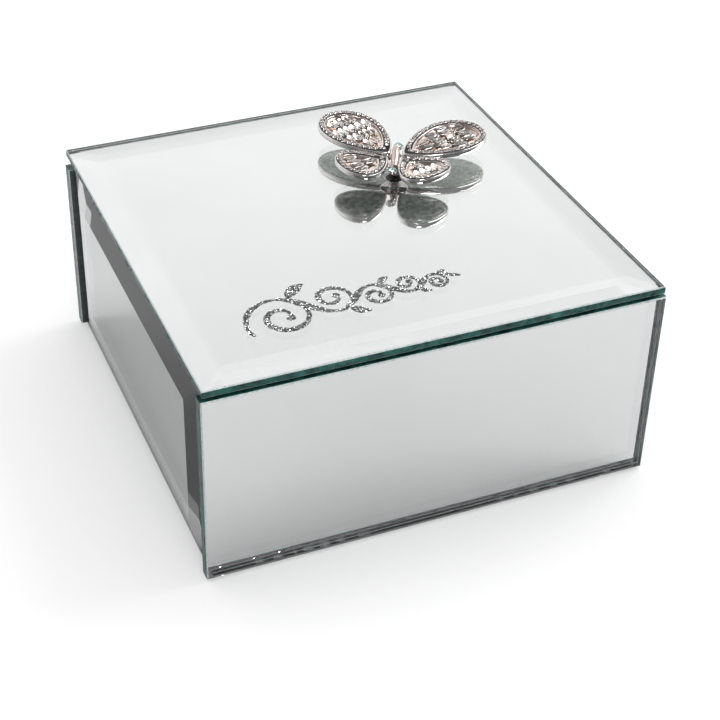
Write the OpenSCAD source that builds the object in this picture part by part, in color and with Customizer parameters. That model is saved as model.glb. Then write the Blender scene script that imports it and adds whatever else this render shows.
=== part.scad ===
// Mirrored trinket box: a board box faced with mirror glass, with a hinged mirror lid that
// carries a glitter scroll and a jewelled butterfly.
// Origin: middle of the footprint, on the table. +X right, +Y to the back, +Z up.

/* [Body] */
// Width over the glass, left to right
body_w = 130; // [105:1:200]
// Depth over the glass, front to back
body_d = 130; // [105:1:200]
// Height of the side glass above the table
body_h = 59; // [40:1:110]
// Thickness of the felt sheet under the box
felt_t = 1; // [0.6:0.1:2]
// Distance that the felt stays inside the glass
felt_inset = 2; // [1:0.5:4]

/* [Glass] */
// Thickness of every glass panel
glass_t = 4; // [3:0.1:5]
// Thickness of the lid's mirror glass
lid_glass_t = 2.8; // [2.7:0.1:5]
// Upright rim left outside the bevel
rim_h = 2.3; // [1.8:0.1:2.6]
// Width of the bevel on the side panels
bevel_w = 9; // [4:0.5:14]
// Width of the bevel on the lid
lid_bevel_w = 8; // [4:0.5:14]
// Chamfer along the edges of the flat front and back panels
arris = 0.35; // [0.2:0.05:0.8]
// Gap between a side panel's end and the front or back panel
corner_gap = 1.6; // [0.4:0.1:2.5]

/* [Boards and lining] */
// Thickness of the wall boards
wall_t = 3; // [2.4:0.1:5]
// Thickness of the base board
base_t = 3; // [2:0.1:6]
// Thickness of the cloth lining on the walls
lining_t = 1; // [0.5:0.1:2]
// Thickness of the padded floor lining
floor_pad_t = 1.5; // [1:0.1:4]

/* [Lid] */
// Gap between the side glass and the lid glass
lid_gap = 0.8; // [0.5:0.1:2]
// Distance that the lid glass stays inside the body's outline
lid_inset = 0.5; // [0:0.1:1.5]
// Thickness of the board under the lid glass
lid_board_t = 2; // [1.8:0.1:4]
// Gap between the lid board and the glass panels around it
lid_board_gap = 0.6; // [0.4:0.1:1.5]
// Thickness of the cloth facing under the lid board
lid_lining_t = 0.35; // [0.3:0.05:0.6]
// Thickness of the raised pad inside the lid
lid_pad_t = 1.2; // [0.8:0.1:3]
// Gap between the raised pad and the wall lining
lid_pad_gap = 1; // [0.6:0.1:3]
// Gap between the cloth facing and the top of the walls
seat_gap = 0.05; // [0.02:0.01:0.1]

/* [Hinges] */
// Length of one hinge
hinge_w = 18; // [16:0.5:26]
// Distance from the middle of the box to the middle of a hinge
hinge_x = 38; // [20:1:40]
// Radius of the hinge barrel
barrel_r = 1.3; // [1.2:0.05:1.6]
// Radius of the hinge pin
pin_r = 0.6; // [0.5:0.05:0.7]
// Clearance round the pin in the turning knuckle
pin_clearance = 0.04; // [0.02:0.01:0.08]
// Thickness of a hinge leaf
leaf_t = 0.6; // [0.5:0.05:0.8]
// Gap between the two leaves of a closed hinge
leaf_gap = 0.2; // [0.1:0.05:0.3]
// Radius of a screw's shank
screw_r = 0.5; // [0.4:0.05:0.6]
// Radius of a screw's head
screw_head_r = 1.05; // [0.9:0.05:1.2]
// Length of the screws in the back wall
wall_screw_len = 6; // [4:0.5:10]

/* [Glitter scroll] */
// Thickness of the glitter layer behind the lid's glass
scroll_t = 0.25; // [0.15:0.05:0.5]
// Radius of the largest curl
scroll_r = 8.6; // [4:0.1:9]
// Width of the thickest part of the line
scroll_line = 2.2; // [1.2:0.1:2.6]
// Crest of the largest curl, from the lid's left edge
scroll_x = 30; // [24:0.5:34]
// Middle line of the scroll, from the lid's front edge
scroll_y = 26; // [24:0.5:60]

/* [Butterfly] */
// Length of a forewing
forewing_len = 28.5; // [18:0.5:31]
// Width of a forewing
forewing_w = 18; // [12:0.5:19]
// Length of a hindwing
hindwing_len = 16.5; // [13:0.5:20]
// Width of a hindwing
hindwing_w = 16; // [12:0.5:17]
// Height of the post under the wings
post_h = 3; // [2:0.1:6]
// Middle of the butterfly, from the middle of the lid to the right
butterfly_x = 22; // [-20:1:24]
// Middle of the butterfly, from the middle of the lid to the back
butterfly_y = 16.5; // [-10:0.5:20]
// Turn of the butterfly, clockwise from facing the back
butterfly_turn = 31; // [-180:1:180]

/* [Hidden] */
$fn = 48;

// Heights, from the table up
panel_z = felt_t;
lid_glass_z = body_h + lid_gap;
lid_board_z = lid_glass_z - lid_board_t;
lid_lining_z = lid_board_z - lid_lining_t;
lid_pad_z = lid_lining_z - lid_pad_t;
wall_top_z = lid_lining_z - seat_gap;
lid_top_z = lid_glass_z + lid_glass_t;
floor_z = panel_z + base_t;
hinge_z = (wall_top_z + lid_board_z) / 2;
body_leaf_z = hinge_z - leaf_gap / 2 - leaf_t;
lid_leaf_z = hinge_z + leaf_gap / 2;
back_glass_top_z = body_leaf_z;

// Plan sizes
core_w = body_w - 2 * glass_t;
core_d = body_d - 2 * glass_t;
inside_w = core_w - 2 * wall_t;
inside_d = core_d - 2 * wall_t;
side_len = core_d - 2 * corner_gap;
room_w = inside_w - 2 * lining_t;
room_d = inside_d - 2 * lining_t;

// Hinge places
barrel_gap = 0.1;
hinge_y = body_d / 2 + barrel_r + barrel_gap;
leaf_recess = 0.2;
leaf_front_y = inside_d / 2 + leaf_recess;
screw_y = (inside_d + wall_t) / 2;
knuckle_gap = 0.2;
middle_knuckle = 8;
screw_x = 5;
screw_head_h = 0.5;
screw_fit = 0.03;
knuckle_room = 0.25;
pin_fit = 0.01;
pin_head_r = 0.9;
pin_head_h = 0.4;
screw_end_wall = 0.4;
lid_screw_len = lid_board_t - (lid_board_z - lid_leaf_z) - screw_end_wall;
lid_board_setback = 1;
lid_board_back_y = body_d / 2 - lid_board_setback;
lining_setback = 0.5;

// Place of the scroll's first crest, and the clearance round the scroll in its groove
scroll_place = [-body_w / 2 + lid_inset + scroll_x, -body_d / 2 + lid_inset + scroll_y, lid_glass_z];
scroll_room = 0.05;

// Butterfly sizes
post_r = 2.6;
solder_plate_r = 4.2;
solder_plate_h = 0.7;
frame_h = 1.6;
pocket_depth = 0.7;
rim_band = 2.1;
round_stone_r = 0.75;
round_stone_h = 0.6;
round_stone_pitch = 1.72;
root_stone_x = 2.5;
baguette_h = 1.2;
baguette_gap = 0.35;
baguette_start = 0.1;
baguette_span = 0.82;
wing_steps = 30;
wing_root = 2.2;
wing_side = 1.4;
forewing_angle = 41;
hindwing_angle = -42;
forewing_tilt = 2;
hindwing_tilt = 6;
wing_z = post_h + solder_plate_h;
body_len = 12;
body_r = 1.3;
body_end_r = 0.55;
end_stone_r = 1.5;
end_stone_h = 1.2;

// A bevelled plate that lies flat, its front face up: x by y by t, with an upright rim
module bevelled_plate(x, y, t, rim, bevel) {
    intersection() {
        rotate([90, 0, 0])
            linear_extrude(y, center = true)
                bevel_profile(x, t, rim, bevel);
        rotate([90, 0, 90])
            linear_extrude(x, center = true)
                bevel_profile(y, t, rim, bevel);
    }
}

// Cross-section of a bevelled plate
module bevel_profile(width, t, rim, bevel) {
    polygon([
        [-width / 2, 0],
        [width / 2, 0],
        [width / 2, rim],
        [width / 2 - bevel, t],
        [-width / 2 + bevel, t],
        [-width / 2, rim]
    ]);
}

// A board centred on x = 0 and y = 0, with its lower face at z
module slab(x, y, z, h) {
    translate([-x / 2, -y / 2, z])
        cube([x, y, h]);
}

// Puts children at every screw: both hinges, two screws each
module at_screws() {
    for (hinge = [-1, 1], side = [-1, 1])
        translate([hinge * hinge_x + side * screw_x, screw_y, 0])
            children();
}

// Puts children in the middle of each hinge
module at_hinges() {
    for (hinge = [-1, 1])
        translate([hinge * hinge_x, 0, 0])
            children();
}

/* ---- Body ---- */

module base_felt() {
    color("#2a2c30")
        slab(body_w - 2 * felt_inset, body_d - 2 * felt_inset, 0, felt_t);
}

module base_board() {
    color("#3a3632")
        slab(core_w, core_d, panel_z, base_t);
}

module front_wall() {
    color("#2b2b2e")
        translate([0, -(core_d - wall_t) / 2, 0])
            slab(core_w, wall_t, floor_z, wall_top_z - floor_z);
}

// The back wall is let in for the hinge leaves and drilled for their screws
module back_wall() {
    color("#2b2b2e")
        difference() {
            translate([0, (core_d - wall_t) / 2, 0])
                slab(core_w, wall_t, floor_z, wall_top_z - floor_z);
            at_hinges()
                translate([-hinge_w / 2, inside_d / 2 - 1, body_leaf_z])
                    cube([hinge_w, wall_t + 2, leaf_t + 1]);
            at_screws()
                translate([0, 0, body_leaf_z - wall_screw_len])
                    cylinder(r = screw_r + screw_fit, h = wall_screw_len + 1);
        }
}

module side_wall() {
    color("#2b2b2e")
        translate([(core_w - wall_t) / 2, 0, 0])
            slab(wall_t, inside_d, floor_z, wall_top_z - floor_z);
}

module left_wall() {
    mirror([1, 0, 0])
        side_wall();
}

module right_wall() {
    side_wall();
}

// A flat full-width panel that stands with its face to the front
module flat_panel(top_z) {
    panel_h = top_z - panel_z;
    translate([0, -body_d / 2 + glass_t, panel_z + panel_h / 2])
        rotate([90, 0, 0])
            bevelled_plate(body_w, panel_h, glass_t, glass_t - arris, arris);
}

module front_glass() {
    color("#dfe4e6")
        flat_panel(body_h);
}

module back_glass() {
    color("#dfe4e6")
        mirror([0, 1, 0])
            flat_panel(back_glass_top_z);
}

module side_glass() {
    panel_h = body_h - panel_z;
    color("#d3d7d8")
        translate([body_w / 2 - glass_t, 0, panel_z + panel_h / 2])
            rotate([90, 0, 90])
                bevelled_plate(side_len, panel_h, glass_t, rim_h, bevel_w);
}

module left_glass() {
    mirror([1, 0, 0])
        side_glass();
}

module right_glass() {
    side_glass();
}

module floor_pad() {
    color("#1f2024")
        slab(inside_w, inside_d, floor_z, floor_pad_t);
}

// Wall linings stand on the floor pad; the front and back ones run the full width
module front_lining() {
    lining_z = floor_z + floor_pad_t;
    color("#232429")
        translate([0, -(inside_d - lining_t) / 2, 0])
            slab(inside_w, lining_t, lining_z, wall_top_z - lining_z);
}

module back_lining() {
    lining_z = floor_z + floor_pad_t;
    color("#232429")
        translate([0, (inside_d - lining_t) / 2, 0])
            slab(inside_w, lining_t, lining_z, body_leaf_z - lining_z);
}

module side_lining() {
    lining_z = floor_z + floor_pad_t;
    color("#232429")
        translate([(inside_w - lining_t) / 2, 0, 0])
            slab(lining_t, room_d, lining_z, wall_top_z - lining_z);
}

module left_lining() {
    mirror([1, 0, 0])
        side_lining();
}

module right_lining() {
    side_lining();
}

/* ---- Hinges ---- */

// Part of the hinge barrel between two places along it
module barrel_part(from_x, to_x, r) {
    translate([from_x, hinge_y, hinge_z])
        rotate([0, 90, 0])
            cylinder(r = r, h = to_x - from_x);
}

// Leaf plate with two countersunk holes; up is 1 when the screw heads face up
module leaf_plate(z, up) {
    difference() {
        translate([-hinge_w / 2, leaf_front_y, z])
            cube([hinge_w, hinge_y - leaf_front_y, leaf_t]);
        for (side = [-1, 1])
            translate([side * screw_x, screw_y, z + leaf_t / 2])
                mirror([0, 0, up > 0 ? 0 : 1]) {
                    cylinder(r = screw_r + screw_fit, h = leaf_t + 1, center = true);
                    translate([0, 0, leaf_t / 2 - screw_head_h])
                        cylinder(r1 = screw_r + screw_fit, r2 = screw_head_r + screw_fit, h = screw_head_h);
                }
    }
}

// Fixed leaf: a knuckle at each end, room for the lid's knuckle between them
module body_leaf() {
    color("#b9bcc0")
        difference() {
            union() {
                leaf_plate(body_leaf_z, 1);
                for (side = [0, 1])
                    mirror([side, 0, 0])
                        barrel_part(middle_knuckle / 2 + knuckle_gap, hinge_w / 2, barrel_r);
            }
            barrel_part(
                -middle_knuckle / 2 - knuckle_gap,
                middle_knuckle / 2 + knuckle_gap,
                barrel_r + knuckle_room
            );
            barrel_part(-hinge_w / 2 - 1, hinge_w / 2 + 1, pin_r + pin_fit);
        }
}

// Moving leaf: one knuckle in the middle, turning on the pin
module lid_leaf() {
    color("#b9bcc0")
        difference() {
            union() {
                leaf_plate(lid_leaf_z, -1);
                barrel_part(-middle_knuckle / 2, middle_knuckle / 2, barrel_r);
            }
            for (side = [0, 1])
                mirror([side, 0, 0])
                    barrel_part(middle_knuckle / 2, hinge_w / 2 + 1, barrel_r + knuckle_room);
            barrel_part(-hinge_w / 2 - 1, hinge_w / 2 + 1, pin_r + pin_clearance);
        }
}

module hinge_pin() {
    color("#cfd2d6") {
        barrel_part(-hinge_w / 2, hinge_w / 2, pin_r);
        barrel_part(-hinge_w / 2 - pin_head_h, -hinge_w / 2, pin_head_r);
        barrel_part(hinge_w / 2, hinge_w / 2 + pin_head_h, pin_head_r);
    }
}

module hinge_left_body_leaf() {
    translate([-hinge_x, 0, 0])
        body_leaf();
}

module hinge_right_body_leaf() {
    translate([hinge_x, 0, 0])
        body_leaf();
}

module hinge_left_pin() {
    translate([-hinge_x, 0, 0])
        hinge_pin();
}

module hinge_right_pin() {
    translate([hinge_x, 0, 0])
        hinge_pin();
}

module hinge_left_lid_leaf() {
    translate([-hinge_x, 0, 0])
        lid_leaf();
}

module hinge_right_lid_leaf() {
    translate([hinge_x, 0, 0])
        lid_leaf();
}

// Countersunk screw, head up, with its top at z = 0 and a cross slot in the head
module screw(len) {
    slot_w = 0.25;
    slot_l = 1.3;
    slot_h = 0.2;
    difference() {
        union() {
            translate([0, 0, -screw_head_h])
                cylinder(r1 = screw_r, r2 = screw_head_r, h = screw_head_h);
            translate([0, 0, -len])
                cylinder(r = screw_r, h = len - screw_head_h);
        }
        for (turn = [0, 90])
            rotate([0, 0, turn])
                translate([-slot_l / 2, -slot_w / 2, -slot_h])
                    cube([slot_l, slot_w, 1]);
    }
}

module hinge_body_screws() {
    color("#d8dade")
        at_screws()
            translate([0, 0, body_leaf_z + leaf_t])
                screw(wall_screw_len);
}

module hinge_lid_screws() {
    color("#d8dade")
        at_screws()
            translate([0, 0, lid_leaf_z])
                mirror([0, 0, 1])
                    screw(lid_screw_len);
}

/* ---- Lid ---- */

// The scroll is engraved in the back of the glass
module lid_glass() {
    color("#eef1f2")
        difference() {
            translate([0, 0, lid_glass_z])
                bevelled_plate(
                    body_w - 2 * lid_inset, body_d - 2 * lid_inset, lid_glass_t, rim_h, lid_bevel_w
                );
            translate(scroll_place - [0, 0, 1])
                linear_extrude(1 + scroll_t)
                    scroll_shape(scroll_room);
        }
}

// The board lies between the glass panels at the front and sides and runs over the back wall
module lid_board() {
    board_w = core_w - 2 * lid_board_gap;
    board_front_y = -core_d / 2 + lid_board_gap;
    color("#2b2b2e")
        difference() {
            translate([-board_w / 2, board_front_y, lid_board_z])
                cube([board_w, lid_board_back_y - board_front_y, lid_board_t]);
            at_hinges()
                translate([-hinge_w / 2, leaf_front_y, lid_board_z - 1])
                    cube([hinge_w, hinge_y, lid_leaf_z + leaf_t - lid_board_z + 1]);
            at_screws()
                translate([0, 0, lid_leaf_z])
                    cylinder(r = screw_r + screw_fit, h = lid_screw_len + 0.1);
        }
}

module lid_lining() {
    lining_w = core_w - 2 * lid_board_gap;
    lining_front_y = -core_d / 2 + lid_board_gap;
    color("#232429")
        translate([-lining_w / 2, lining_front_y, lid_lining_z])
            cube([lining_w, leaf_front_y - lining_setback - lining_front_y, lid_lining_t]);
}

module lid_pad() {
    color("#1f2024")
        slab(room_w - 2 * lid_pad_gap, room_d - 2 * lid_pad_gap, lid_pad_z, lid_pad_t);
}

/* ---- Glitter scroll ---- */

// Curl radii from left to right, as shares of the largest
curl_share = [1, 0.74, 0.58, 0.47, 0.4];
curl_count = len(curl_share);
curl_air = 1.1;
line_steps = 14;

function curl_radius(k) = scroll_r * curl_share[k];
function curl_side(k) = k % 2 == 0 ? 1 : -1;
function curl_x(k) = k == 0 ? 0 : curl_x(k - 1) + (curl_radius(k - 1) + curl_radius(k)) * 0.93 + curl_air;
function curl_stem_y(k) = curl_side(k) * curl_radius(k) * 0.72;
function curl_middle(k) = [curl_x(k), curl_stem_y(k) - curl_side(k) * curl_radius(k)];

// Stem from one curl to the next, an easy S
function stem_point(k, t) = [
    curl_x(k) + (curl_x(k + 1) - curl_x(k)) * t,
    curl_stem_y(k) + (curl_stem_y(k + 1) - curl_stem_y(k)) * (1 - cos(180 * t)) / 2
];

// Curl that leaves the stem at its crest and winds inwards
curl_turn = 470;
function curl_point(k, t) =
    let (r = curl_radius(k) * (1 - 0.76 * pow(t, 0.85)))
    let (a = curl_side(k) * (90 - curl_turn * t))
    curl_middle(k) + r * [cos(a), sin(a)];

// Lead-in at the left end, which rises round the first curl to its crest
lead_sweep = 118;
function lead_point(t) =
    let (r = curl_radius(0) * (1.28 - 0.28 * sin(90 * t)))
    let (a = 90 + lead_sweep * (1 - t))
    curl_middle(0) + r * [cos(a), sin(a)];

// Tail at the right end, which runs out low and flat
tail_len = 7;
function tail_point(t) = [
    curl_x(curl_count - 1) + tail_len * t,
    curl_stem_y(curl_count - 1) * (1 - 1.25 * (1 - cos(150 * t)) / 2)
];

function unit_normal(a, b) =
    let (d = b - a)
    [-d[1], d[0]] / norm(d);

// One side of a line of changing width; side is 1 or -1
function line_side(points, widths, side) = [
    for (i = [0 : len(points) - 1])
        let (before = points[max(i - 1, 0)])
        let (after = points[min(i + 1, len(points) - 1)])
        points[i] + side * widths[i] / 2 * unit_normal(before, after)
];

module pen_line(points, widths) {
    left = line_side(points, widths, 1);
    right = line_side(points, widths, -1);
    last = len(points) - 1;
    polygon(concat(left, [for (i = [last : -1 : 0]) right[i]]));
}

// The whole stem as one line: lead-in, an S between each two crests, and the tail.
// Each part of the scroll is drawn wider by grow on both sides.
module scroll_stem(grow) {
    thin = scroll_line * 0.3;
    times = [for (i = [0 : line_steps - 1]) i / line_steps];
    points = concat(
        [for (t = times) lead_point(t)],
        [for (k = [0 : curl_count - 2]) for (t = times) stem_point(k, t)],
        [for (t = concat(times, [1])) tail_point(t)]
    );
    swell = concat([0.55], [for (k = [0 : curl_count - 2]) sqrt(curl_share[k])], [0.3]);
    widths = concat(
        [for (part = swell) for (t = times) thin + (scroll_line - thin) * part * pow(sin(180 * t), 2)],
        [thin * 0.5]
    );
    pen_line(points, [for (w = widths) w + 2 * grow]);
}

module scroll_curl(k, grow) {
    thin = scroll_line * 0.3;
    steps = line_steps * 3;
    times = [for (i = [0 : steps]) i / steps];
    points = [for (t = times) curl_point(k, t)];
    swell = scroll_line * 0.42 * curl_share[k];
    pen_line(points, [for (t = times) thin + swell * pow(sin(180 * t), 2) + 2 * grow]);
    translate(curl_point(k, 1))
        circle(r = scroll_line * (0.28 + 0.2 * curl_share[k]) + grow);
}

// A bent leaf that stands on the outside of a crest
leaf_tip = 0.12;
module scroll_leaf(k, grow) {
    leaf_l = curl_radius(k) * 0.95;
    leaf_w = leaf_l * 0.4;
    steps = 10;
    times = [for (i = [0 : steps]) i / steps];
    points = [for (t = times) [leaf_l * t, leaf_w * 0.25 * sin(180 * t)]];
    side = curl_side(k);
    translate([curl_x(k) + curl_radius(k) * 0.45, curl_stem_y(k) - side * scroll_line * 0.4])
        mirror([0, side > 0 ? 0 : 1])
            rotate(38)
                pen_line(points, [for (t = times) max(leaf_w * sin(180 * t), leaf_tip) + 2 * grow]);
}

module scroll_shape(grow) {
    scroll_stem(grow);
    for (k = [0 : curl_count - 1]) {
        scroll_curl(k, grow);
        scroll_leaf(k, grow);
    }
}

// Glitter layer that fills the groove in the back of the lid's glass
module flourish() {
    color("#8d9094")
        translate(scroll_place)
            linear_extrude(scroll_t)
                scroll_shape(0);
}

/* ---- Butterfly ---- */

// Half width of a wing at a share t of its length: slim root, widest at its belly, round end
function wing_half(t, w, root, end) =
    let (belly = root / (root + end))
    w * pow(t / belly, root) * pow((1 - t) / (1 - belly), end);

// Closed outline of a wing, root at the origin, length along +X, points closer at both ends
function wing_share(i) = (1 - cos(180 * i / wing_steps)) / 2;
function wing_outline(len, lead_w, trail_w, root, end) = concat(
    [for (i = [0 : wing_steps]) [len * wing_share(i), wing_half(wing_share(i), lead_w, root, end)]],
    [for (i = [wing_steps - 1 : -1 : 1]) [len * wing_share(i), -wing_half(wing_share(i), trail_w, root, end)]]
);

// Each wing: [length, leading half width, trailing half width, root shape, end shape,
//             columns of long stones, widest stone]
forewing = [forewing_len, forewing_w * 0.53, forewing_w * 0.47, 0.8, 0.5, 4, 2.4];
hindwing = [hindwing_len, hindwing_w * 0.5, hindwing_w * 0.5, 0.95, 0.5, 2, 3];

function rim_outline(wing) = wing_outline(wing[0], wing[1], wing[2], wing[3], wing[4]);
function pocket_start() = rim_band * 1.9;
function pocket_len(wing) = wing[0] - pocket_start() - rim_band;
function pocket_outline(wing) = [
    for (p = wing_outline(pocket_len(wing), wing[1] - rim_band, wing[2] - rim_band, wing[3], wing[4]))
        p + [pocket_start(), 0]
];

// Line of the small stones, halfway between the rim and the pocket
function stone_line(wing) =
    let (outer = rim_outline(wing))
    let (inner = pocket_outline(wing))
    [for (i = [0 : len(outer) - 1]) (outer[i] + inner[i]) / 2];

// Running length along a closed line, and evenly spaced places on it
function run_lengths(line) = [
    for (i = 0, run = 0; i <= len(line);
         run = run + (i < len(line) ? norm(line[(i + 1) % len(line)] - line[i]) : 0), i = i + 1)
        run
];
function place_at(line, runs, distance) =
    let (i = min(len([for (r = runs) if (r <= distance) 1]) - 1, len(line) - 1))
    let (share = (distance - runs[i]) / (runs[i + 1] - runs[i]))
    line[i] + share * (line[(i + 1) % len(line)] - line[i]);
function all_places(wing) =
    let (line = stone_line(wing))
    let (runs = run_lengths(line))
    let (total = runs[len(line)])
    let (count = floor(total / round_stone_pitch))
    [for (k = [0 : count - 1]) place_at(line, runs, total * (k + 0.5) / count)];

// The slim root has no room for two stones side by side, so it has one on the middle line
function stone_places(wing) = concat(
    [[root_stone_x, 0]],
    [for (p = all_places(wing)) if (p[0] > wing[0] / 2 || abs(p[1]) > round_stone_pitch / 2) p]
);

// Puts children where a wing is: side is 1 for the right wing and -1 for the left
module at_wing(side, angle, tilt) {
    at_butterfly()
        mirror([side > 0 ? 0 : 1, 0, 0])
            translate([wing_side, angle > 0 ? 1 : -1, wing_z])
                rotate([0, 0, angle])
                    rotate([0, -tilt, 0])
                        translate([wing_root - wing_side, 0, 0])
                            children();
}

module at_butterfly() {
    translate([butterfly_x, butterfly_y, lid_top_z])
        rotate([0, 0, -butterfly_turn])
            children();
}

// Metal frame of one wing: a plate with a raised rim round a pocket
module wing_frame(wing) {
    difference() {
        linear_extrude(frame_h)
            polygon(rim_outline(wing));
        translate([0, 0, frame_h - pocket_depth])
            linear_extrude(pocket_depth + 1)
                polygon(pocket_outline(wing));
    }
}

module wing_round_stone_row(wing) {
    for (p = stone_places(wing))
        translate([p[0], p[1], frame_h])
            cylinder(r = round_stone_r, h = round_stone_h, $fn = 8);
}

// Columns of rectangular stones on both sides of the wing's middle line, in lanes
module wing_baguette_rows(wing) {
    columns = wing[5];
    length = pocket_len(wing);
    first = length * baguette_start;
    pitch = length * baguette_span / columns;
    for (c = [0 : columns - 1], row = [1, -1]) {
        near = first + c * pitch;
        far = near + pitch - baguette_gap;
        half = row > 0 ? wing[1] - rim_band : wing[2] - rim_band;
        near_half = wing_half(near / length, half, wing[3], wing[4]);
        far_half = wing_half(far / length, half, wing[3], wing[4]);
        reach = min(near_half, far_half) - baguette_gap / 2;
        lanes = ceil(reach / wing[6]);
        lane_w = reach / lanes;
        for (lane = [0 : lanes - 1])
            translate([
                pocket_start() + near,
                row > 0 ? lane * lane_w + baguette_gap / 2 : -(lane + 1) * lane_w + baguette_gap / 2,
                frame_h - pocket_depth
            ])
                cube([far - near, lane_w - baguette_gap, baguette_h]);
    }
}

module left_forewing() {
    color("#c9c6c6")
        at_wing(-1, forewing_angle, forewing_tilt)
            wing_frame(forewing);
}

module right_forewing() {
    color("#c9c6c6")
        at_wing(1, forewing_angle, forewing_tilt)
            wing_frame(forewing);
}

module left_hindwing() {
    color("#c9c6c6")
        at_wing(-1, hindwing_angle, hindwing_tilt)
            wing_frame(hindwing);
}

module right_hindwing() {
    color("#c9c6c6")
        at_wing(1, hindwing_angle, hindwing_tilt)
            wing_frame(hindwing);
}

module wing_baguettes() {
    color("#e6e2dc")
        for (side = [-1, 1]) {
            at_wing(side, forewing_angle, forewing_tilt)
                wing_baguette_rows(forewing);
            at_wing(side, hindwing_angle, hindwing_tilt)
                wing_baguette_rows(hindwing);
        }
}

module wing_round_stones() {
    color("#f2efec")
        for (side = [-1, 1]) {
            at_wing(side, forewing_angle, forewing_tilt)
                wing_round_stone_row(forewing);
            at_wing(side, hindwing_angle, hindwing_tilt)
                wing_round_stone_row(hindwing);
        }
}

// Post glued to the lid, with the plate that the wings are soldered to
module butterfly_post() {
    color("#b9bcc0")
        at_butterfly() {
            cylinder(r = post_r, h = post_h);
            translate([0, 0, post_h])
                cylinder(r = solder_plate_r, h = solder_plate_h);
        }
}

// Slim body that lies along the butterfly's middle, with a cup for a stone at each end
module butterfly_body() {
    color("#c8b4a6")
        at_butterfly()
            translate([0, 0, wing_z + body_r])
                rotate([90, 0, 0])
                    rotate_extrude()
                        polygon(concat(
                            [[0, -body_len / 2]],
                            [for (i = [0 : 12]) body_point(i / 12)],
                            [[0, body_len / 2]]
                        ));
}

function body_point(t) = [
    body_end_r + (body_r - body_end_r) * pow(sin(180 * t), 0.6),
    body_len * (t - 0.5)
];

// Round stones in front of the head and behind the tail
module body_stones() {
    color("#a9d3cf")
        at_butterfly()
            for (end = [-1, 1])
                translate([0, end * (body_len / 2 + end_stone_r), wing_z])
                    cylinder(r = end_stone_r, h = end_stone_h, $fn = 12);
}

base_felt();
base_board();
front_wall();
back_wall();
left_wall();
right_wall();
front_glass();
back_glass();
left_glass();
right_glass();
floor_pad();
front_lining();
back_lining();
left_lining();
right_lining();
hinge_left_body_leaf();
hinge_right_body_leaf();
hinge_left_pin();
hinge_right_pin();
hinge_left_lid_leaf();
hinge_right_lid_leaf();
hinge_body_screws();
hinge_lid_screws();
lid_glass();
lid_board();
lid_lining();
lid_pad();
flourish();
butterfly_post();
butterfly_body();
left_forewing();
right_forewing();
left_hindwing();
right_hindwing();
wing_baguettes();
wing_round_stones();
body_stones();
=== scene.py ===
# %% [markdown]
# # A mirrored trinket box with a jewelled butterfly
# The real box is a thin board box. Mirror glass is glued to its four sides and to its lid, and two
# small hinges let the lid swing. A glitter scroll and a butterfly set with stones decorate the lid.
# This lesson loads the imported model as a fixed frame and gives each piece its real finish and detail.

# %% Load the frame
import math
import random
import bmesh
import bpy
import numpy as np
from mathutils import Matrix, Vector


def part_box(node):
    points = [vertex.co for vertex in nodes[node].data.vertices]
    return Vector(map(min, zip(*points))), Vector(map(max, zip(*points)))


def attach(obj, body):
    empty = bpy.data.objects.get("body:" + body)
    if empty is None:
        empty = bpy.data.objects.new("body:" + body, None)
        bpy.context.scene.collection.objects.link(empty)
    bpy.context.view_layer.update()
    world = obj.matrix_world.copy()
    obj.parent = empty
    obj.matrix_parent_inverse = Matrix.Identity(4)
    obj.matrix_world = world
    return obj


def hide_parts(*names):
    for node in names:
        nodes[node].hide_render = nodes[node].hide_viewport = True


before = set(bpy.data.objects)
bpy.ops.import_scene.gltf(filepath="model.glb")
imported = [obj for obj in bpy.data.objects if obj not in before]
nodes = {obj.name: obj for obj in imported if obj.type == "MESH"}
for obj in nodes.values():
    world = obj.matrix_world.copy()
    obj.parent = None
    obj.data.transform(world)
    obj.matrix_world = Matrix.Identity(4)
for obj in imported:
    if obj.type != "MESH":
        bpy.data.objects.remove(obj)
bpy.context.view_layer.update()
MM = 0.001
print("pieces in the frame:", len(nodes))

# %% [markdown]
# ## Camera
# The box is seen from above and from its front left corner, through a long lens, so its edges hardly
# converge. The camera's place is given in box widths from the front left foot of the glass. A small
# lens shift slides the picture in its frame without changing the perspective.

# %% Camera
front_low, front_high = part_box("front_glass")
box_width = front_high.x - front_low.x
foot = Vector((front_low.x, front_low.y, 0.0))
LENS_MM = 82.65
SENSOR_MM = 36.0
LENS_SHIFT = (0.072, -0.036)
CAMERA_FROM_FOOT = Vector((-0.706, -2.337, 2.325))
CAMERA_TURN = math.radians(21.5)
CAMERA_DOWN = math.radians(35.11)
CAMERA_ROLL = math.radians(0.31)

camera_data = bpy.data.cameras.new("camera")
camera_data.lens = LENS_MM
camera_data.sensor_width = SENSOR_MM
camera_data.shift_x, camera_data.shift_y = LENS_SHIFT
camera_data.clip_start = 0.01
camera = bpy.data.objects.new("camera", camera_data)
bpy.context.scene.collection.objects.link(camera)
camera.location = foot + box_width * CAMERA_FROM_FOOT
turn = Matrix.Rotation(-CAMERA_TURN, 4, "Z") @ Matrix.Rotation(math.pi / 2 - CAMERA_DOWN, 4, "X")
camera.rotation_euler = (turn @ Matrix.Rotation(CAMERA_ROLL, 4, "Z")).to_euler()
bpy.context.scene.camera = camera
print("camera at", tuple(round(value, 3) for value in camera.location))

# %% [markdown]
# ## Studio
# Mirror glass has hardly any colour of its own: it shows the room. So the room is designed like a
# product studio. The world is bright behind the box, where the lid looks, and dark on the camera's
# side, so that cut stones and polished metal get contrast. A large soft lamp stands at the right, and
# a small one hangs in front. The camera sees a white backdrop and a lifted floor with painted shade
# close to the box, while the mirrors see both as they are lit.

# %% Node helpers
def link(tree, from_socket, to_socket):
    tree.links.new(from_socket, to_socket)


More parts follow.
